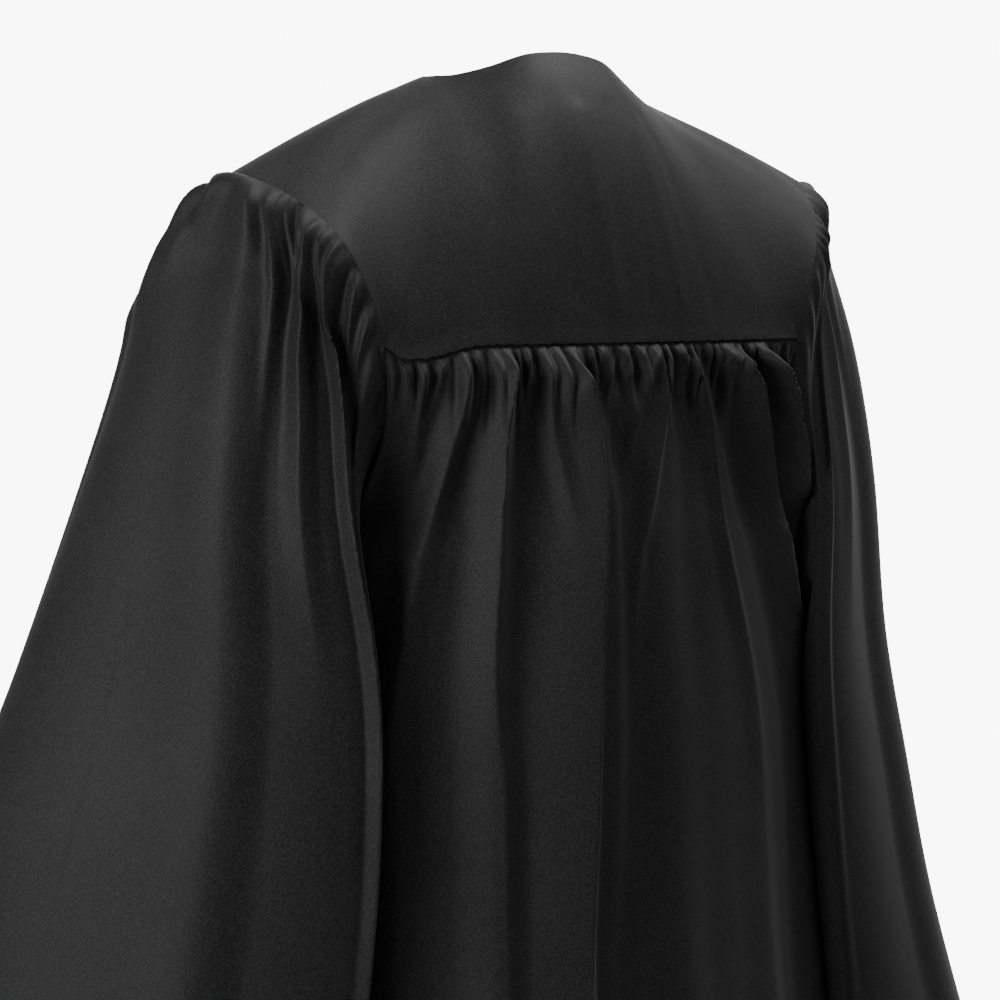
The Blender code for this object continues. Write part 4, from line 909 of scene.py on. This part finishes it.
def crowded(even):
    """Shares of the armhole for even ones, closest together behind the shoulder."""
    return even - HEAD_CROWDING * np.sin(2 * math.pi * (even - HEAD_CROWDED_AT))


def sleeve_base():
    """Smooth grid that both sleeves start from, with the distances down it and the shares round it."""
    shares = np.sort(crowded(np.arange(SLEEVE_COLUMNS) / SLEEVE_COLUMNS) % 1.0)
    rows = spaced_rows(1.0, *SLEEVE_STEPS)
    lines = [sleeve_line(share, rows) for share in shares]
    grid = np.stack([line for line, _length in lines], axis=1)
    lengths = np.array([length for _line, length in lines])
    return grid, rows[:, None] * lengths[None, :], shares


def tube_normals(grid):
    """Outward normals of a left sleeve's grid."""
    normals = grid_normals(grid, closed_across=True)
    return -normals if normals[-1, 0, 0] < 0 else normals


def make_sleeve_cloth(name, side, material, base, tables):
    """Cloth of the left sleeve (side 1) or the right one (-1), and the grid of its outer points."""
    grid, downs, shares = base
    grid = stay_clear(grid.copy(), tables)
    normals = tube_normals(grid)
    share = np.broadcast_to(shares[None, :], downs.shape)
    crisp_depth = 1.0 if side > 0 else RIGHT_FOLDS
    height = folds_on(SLEEVE_FOLDS, share, downs, round_the_tube=True, crisp_depth=crisp_depth)
    even = np.linspace(-0.2, 1.2, 1401)
    crowd = np.broadcast_to(np.sort(np.interp(shares, crowded(even), even))[None, :], downs.shape)
    places = gather_places(SLEEVE_GATHERS, 8.0)
    gathers = gathers_on(places, crowd, downs, GATHER_HEIGHT, GATHER_LENGTH, 8.0 + side)
    height = height + gathers * (1.0 - CALM_BY * soft_bump((share - CALM_AT) / CALM_REACH))
    away = rise((np.abs(share - PLACES["underarm"]) - UNDERARM_SPAN[0]) / UNDERARM_SPAN[1])
    grid = grid + normals * (height * (UNDERARM_FOLDS + (1.0 - UNDERARM_FOLDS) * away))[..., None]
    grid = smooth_tube(stay_clear(grid, tables), 2)
    normals = tube_normals(grid)
    ring = np.roll(grid[0], -1, axis=0) - np.roll(grid[0], 1, axis=0)
    radial = unit(np.cross(ring, np.array([1.0, 0.0, 0.0])))
    normals[0] = -radial if radial[0, 2] < 0 else radial
    grid = grid.copy()
    grid[:, :, 0] *= side
    normals[:, :, 0] *= side
    flat = thread_uv(np.concatenate((grid, grid[:, :1]), axis=1))[:, :-1]
    return shell(name, grid, normals, material, flat, closed_across=True), grid


def flat_size(grid, closed_across=False):
    """Flat width, length and area of a piece, from its grid."""
    line = np.concatenate((grid, grid[:, :1]), axis=1) if closed_across else grid
    width = np.linalg.norm(np.diff(line, axis=1), axis=2).sum(axis=1).max()
    length = np.linalg.norm(np.diff(grid, axis=0), axis=2).sum(axis=0).max()
    one = np.cross(line[1:, :-1] - line[:-1, :-1], line[:-1, 1:] - line[:-1, :-1])
    two = np.cross(line[1:, :-1] - line[1:, 1:], line[:-1, 1:] - line[1:, 1:])
    area = 0.5 * (np.linalg.norm(one, axis=2).sum() + np.linalg.norm(two, axis=2).sum())
    return float(width), float(length), float(area)


def feed(tree, socket, value):
    """Link a node's input to another's output, or set it to a constant."""
    if isinstance(value, bpy.types.NodeSocket):
        tree.links.new(value, socket)
    else:
        socket.default_value = value


def add_node(tree, kind, **inputs):
    """New shader node with its inputs linked or set, named with _ for a space."""
    node = tree.nodes.new("ShaderNode" + kind)
    for name, value in inputs.items():
        feed(tree, node.inputs[name.replace("_", " ")], value)
    return node


def math_node(tree, operation, *values):
    """Output of a math node on links or numbers."""
    node = add_node(tree, "Math")
    node.operation = operation
    for socket, value in zip(node.inputs, values):
        feed(tree, socket, value)
    return node.outputs["Value"]


def new_material(name, **inputs):
    """Material whose shader has these inputs, and its node tree."""
    material = bpy.data.materials.new(name)
    material.use_nodes = True
    for socket, value in inputs.items():
        material.node_tree.nodes["Principled BSDF"].inputs[socket.replace("_", " ")].default_value = value
    return material, material.node_tree


def mottle(tree, noise, low, dark, high, light):
    """Colour the shader from dark to light as a noise goes from low to high."""
    ramp = add_node(tree, "ValToRGB", Fac=noise)
    for stop, position, colour in zip(ramp.color_ramp.elements, (low, high), (dark, light)):
        stop.position = position
        stop.color = (*colour, 1.0)
    tree.links.new(ramp.outputs["Color"], tree.nodes["Principled BSDF"].inputs["Base Color"])


def roughen(tree, height, strength, distance):
    """Bump of the shader's surface."""
    bump = add_node(tree, "Bump", Height=height, Strength=strength, Distance=distance)
    tree.links.new(bump.outputs["Normal"], tree.nodes["Principled BSDF"].inputs["Normal"])


def hard_material(name, dark, light, grain, roughness, metallic=0.0):
    """Hard material, mottled from dark to light in a grain of so many patches a metre."""
    material, tree = new_material(name, Roughness=roughness, Metallic=metallic)
    where = add_node(tree, "TexCoord").outputs["Object"]
    noise = add_node(tree, "TexNoise", Vector=where, Scale=grain).outputs["Fac"]
    mottle(tree, noise, 0.35, dark, 0.65, light)
    roughen(tree, noise, 0.2, 0.0001)
    return material


THREAD_PITCH = 0.00045  # distance from one thread to the next
THREAD_DARK = (0.0026, 0.0026, 0.0032)
THREAD_LIGHT = (0.0170, 0.0170, 0.0182)
SPECKLES = 900.0  # fine and broad patches of colour, by number a metre
CLOUDS = 14.0
CLOUD_SHARE = 0.16  # strength of the broad ones beside the fine ones
WEAVE_SHARE = 0.25  # height of the weave beside the fine patches
HEM_WIDTH = 0.025  # from a hem's edge to its line of stitches
STITCH_LENGTH = 0.0032
STITCH_WIDTH = 0.0012  # half the width of the dip along them


def cloth_material(name, hem=0.0):
    """Black polyester: a fine plain weave, uneven in colour, with a soft sheen and a stitched hem."""
    material, tree = new_material(name, Roughness=0.62, Specular_IOR_Level=0.22, Sheen_Weight=0.03,
                                  Sheen_Roughness=0.50)
    where = add_node(tree, "TexCoord").outputs["Object"]
    speckle = add_node(tree, "TexNoise", Vector=where, Scale=SPECKLES, Detail=2.0).outputs["Fac"]
    cloud = add_node(tree, "TexNoise", Vector=where, Scale=CLOUDS, Detail=3.0).outputs["Fac"]
    mixed = math_node(tree, "MULTIPLY_ADD", cloud, CLOUD_SHARE, speckle)
    mixed = math_node(tree, "SUBTRACT", mixed, CLOUD_SHARE / 2)
    mottle(tree, mixed, 0.36, THREAD_DARK, 0.66, THREAD_LIGHT)

    threads = add_node(tree, "UVMap")
    threads.uv_map = "threads"
    parts = add_node(tree, "SeparateXYZ", Vector=threads.outputs["UV"])
    across, up = parts.outputs["X"], parts.outputs["Y"]
    maths = functools.partial(math_node, tree)
    turn = math.pi / THREAD_PITCH
    warp = maths("SINE", maths("MULTIPLY", across, turn))
    weft = maths("SINE", maths("MULTIPLY", up, turn))
    height = maths("MULTIPLY_ADD", maths("MULTIPLY", warp, weft), WEAVE_SHARE, speckle)
    if hem:
        off = maths("ABSOLUTE", maths("SUBTRACT", up, hem))
        line = maths("MAXIMUM", maths("SUBTRACT", 1.0, maths("DIVIDE", off, STITCH_WIDTH)), 0.0)
        dash = maths("COSINE", maths("MULTIPLY", across, 2.0 * math.pi / STITCH_LENGTH))
        dash = maths("MULTIPLY_ADD", dash, 1.2, 2.6)
        height = maths("SUBTRACT", height, maths("MULTIPLY", line, dash))
    roughen(tree, height, 0.25, 0.0002)
    return material


# Teeth of the zip: moulded blocks that reach over the middle from either side in turn
TOOTH_PITCH = 0.0020  # from one tooth of a side to the next
TOOTH_HEIGHT = 0.0013
TOOTH_OUT = 0.0026  # reach from the middle to its own side, and over to the other
TOOTH_OVER = 0.0006
TOOTH_SINK = 0.0002  # depth in the chain's strip, and height over it
TOOTH_PROUD = 0.0006
TOOTH_TAPER = 0.0002


def make_teeth(material):
    """Closed row of teeth on the front of the zip's chain."""
    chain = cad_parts["front_zip"]
    points = np.array([chain.matrix_world @ corner.co for corner in chain.data.vertices])
    heights = np.unique(np.round(points[:, 2], 5))
    fronts = np.array([points[np.abs(points[:, 2] - z) < 1e-4, 1].min() for z in heights])
    low, high = heights[0] + TOOTH_PITCH, heights[-1] - TOOTH_PITCH
    count = int((high - low) / TOOTH_PITCH * 2)
    corners, faces = [], []
    block = ((0, 1, 2, 3), (7, 6, 5, 4), (0, 4, 5, 1), (1, 5, 6, 2), (2, 6, 7, 3), (3, 7, 4, 0))
    for k in range(count):
        z = low + k * TOOTH_PITCH / 2
        y = np.interp(z, heights, fronts)
        side = 1.0 if k % 2 else -1.0
        start = len(corners)
        for depth, inset in ((TOOTH_SINK, 0.0), (-TOOTH_PROUD, TOOTH_TAPER)):
            inner, outer = -side * (TOOTH_OVER - inset), side * (TOOTH_OUT - inset)
            half = TOOTH_HEIGHT / 2 - inset
            for x, rise_z in ((inner, -half), (outer, -half), (outer, half), (inner, half)):
                corners.append((x, y + depth, z + rise_z))
        for face in block:
            face = face if side > 0 else face[::-1]
            faces.append([start + i for i in face])
    data = bpy.data.meshes.new("zip_teeth")
    data.from_pydata(corners, [], faces)
    data.materials.append(material)
    add_mesh("zip_teeth", data)


def area_light(name, place, target, power, size):
    """Round soft light that faces a target."""
    data = bpy.data.lights.new(name, "AREA")
    data.energy = power
    data.shape = "DISK"
    data.size = size
    lamp = new_object(name, data)
    lamp.location = place
    lamp.rotation_euler = (Vector(target) - Vector(place)).to_track_quat("-Z", "Y").to_euler()


CAMERA_AZIMUTH = math.radians(148.0)
CAMERA_BACK = Vector((math.sin(CAMERA_AZIMUTH), -math.cos(CAMERA_AZIMUTH), 0.0))  # from the gown
CAMERA_RIGHT = Vector((math.cos(CAMERA_AZIMUTH), math.sin(CAMERA_AZIMUTH), 0.0))
CAMERA_DISTANCE = 2.0
CAMERA_ASIDE = 30 / 1408.5  # how far the camera stands to the left of the gown's middle
CAMERA_HEIGHT = -0.1165
CAMERA_DROP = 0.250  # how far the picture's middle lies below the camera's level, and
CAMERA_FOCUS = 2.817  # the focal length, both as shares of the picture's width
SENSOR = 36.0
LIGHTS_MEET = -0.40  # height on the gown that the lights face
FLOOR_LEVEL = -1.56
FLOOR_RADIUS = 3.0
FLOOR_STEPS = 96

# Lights: direction from the gown in degrees to the right of the camera and up, distance, power, diameter
LIGHTS = (
    # name, right, up, distance, power, diameter
    ("key", -46.0, 16.0, 1.8, 29.0, 1.0),
    ("top", 92.0, 68.0, 1.9, 42.0, 1.1),
    ("rim", 145.0, 12.0, 2.4, 5.0, 1.0),
    ("front", 180.0, 32.0, 2.4, 16.0, 1.4),
)
AMBIENT = 0.18  # brightness of the room round the gown
BACKDROP = 0.75  # brightness of the white paper behind the gown
WHITE = 9.0  # brightness with which the camera sees the paper


def studio():
    """Camera, lights, pale floor and white surroundings."""
    data = bpy.data.cameras.new("camera")
    data.sensor_width = SENSOR
    data.lens = SENSOR * CAMERA_FOCUS
    camera = new_object("camera", data)
    up = Vector((0.0, 0.0, 1.0))
    camera.location = CAMERA_BACK * CAMERA_DISTANCE - CAMERA_RIGHT * CAMERA_ASIDE + up * CAMERA_HEIGHT
    camera.rotation_euler = (math.pi / 2 - math.atan2(CAMERA_DROP, CAMERA_FOCUS), 0.0, CAMERA_AZIMUTH)
    bpy.context.scene.camera = camera

    middle = up * LIGHTS_MEET
    for name, right, lift, distance, power, diameter in LIGHTS:
        turn, lift = math.radians(right), math.radians(lift)
        way = (CAMERA_BACK * math.cos(turn) + CAMERA_RIGHT * math.sin(turn)) * math.cos(lift)
        area_light(name, middle + (way + up * math.sin(lift)) * distance, middle, power, diameter)

    world = bpy.data.worlds.new("white_room")
    bpy.context.scene.world = world
    world.use_nodes = True
    tree = world.node_tree
    facing = add_node(tree, "VectorMath")
    facing.operation = "DOT_PRODUCT"
    facing.inputs[1].default_value = -CAMERA_BACK
    tree.links.new(add_node(tree, "TexCoord").outputs["Generated"], facing.inputs[0])
    paper = add_node(tree, "MapRange", Value=facing.outputs["Value"], From_Min=0.0, From_Max=0.9,
                     To_Min=AMBIENT, To_Max=BACKDROP)
    paper.interpolation_type = "SMOOTHSTEP"
    seen = add_node(tree, "Mix")
    seen.data_type = "FLOAT"
    feed(tree, seen.inputs["Factor"], add_node(tree, "LightPath").outputs["Is Camera Ray"])
    feed(tree, seen.inputs["A"], paper.outputs["Result"])
    feed(tree, seen.inputs["B"], WHITE)
    background = tree.nodes["Background"]
    background.inputs["Color"].default_value = (1.0, 1.0, 1.0, 1.0)
    feed(tree, background.inputs["Strength"], seen.outputs["Result"])

    data = bpy.data.meshes.new("floor")
    turns = [2 * math.pi * i / FLOOR_STEPS for i in range(FLOOR_STEPS)]
    rim = [(FLOOR_RADIUS * math.cos(t), FLOOR_RADIUS * math.sin(t), FLOOR_LEVEL) for t in turns]
    data.from_pydata(rim, [], [list(range(FLOOR_STEPS))])
    data.materials.append(hard_material("floor", (0.84, 0.84, 0.84), (0.87, 0.87, 0.87), 60.0, 0.8))
    new_object("floor", data)


def lay(piece, grid, node, held, closed_across=False, **more):
    """Hide the solid that a piece of cloth replaces, and work out the piece's flat size."""
    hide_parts(node)
    width, length, area = flat_size(grid, closed_across)
    width, length = round(width + 0.0005, 3), round(length + 0.0005, 3)
    area = min(area, width * length)


def dress():
    """The gown's cloth over the solids that it replaces, the zip's teeth and the materials."""
    cloth = {name: cloth_material("black_" + name, 0.0 if name == "yoke" else HEM_WIDTH) for name in
             ("yoke", "back_panel", "front_panel_left", "front_panel_right", "sleeve_left", "sleeve_right")}
    lay(*make_yoke_cloth(cloth["yoke"]), "yoke", "stretched")
    back, back_points, plain_back = make_back_cloth(cloth["back_panel"])
    lay(back, back_points, "back_panel", "gathered", rests_on=["yoke_cloth"])
    base = sleeve_base()
    for side, word in ((1.0, "left"), (-1.0, "right")):
        front, front_points = make_front_cloth("front_cloth_" + word, side, cloth["front_panel_" + word])
        lay(front, front_points, "front_panel_" + word, "gathered", rests_on=["yoke_cloth"])
        panel = plain_back if side > 0 else (plain_back * MIRROR)[:, ::-1]
        tables = radius_table(panel), radius_table(front_points)
        sleeve = make_sleeve_cloth("sleeve_cloth_" + word, side, cloth["sleeve_" + word], base, tables)
        lay(*sleeve, "sleeve_" + word, "gathered", closed_across=True, rests_on=["yoke_cloth"])
    black = hard_material("black_zip", (0.006, 0.006, 0.007), (0.014, 0.014, 0.015), 1800.0, 0.55)
    metal = hard_material("black_metal", (0.012, 0.012, 0.013), (0.026, 0.026, 0.027), 2600.0, 0.35, 0.6)
    make_teeth(metal)
    for node, material in (("front_zip", black), ("zip_slider", metal), ("zip_pull", metal)):
        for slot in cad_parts[node].material_slots:
            slot.material = material


dress()
studio()
bpy.context.view_layer.update()
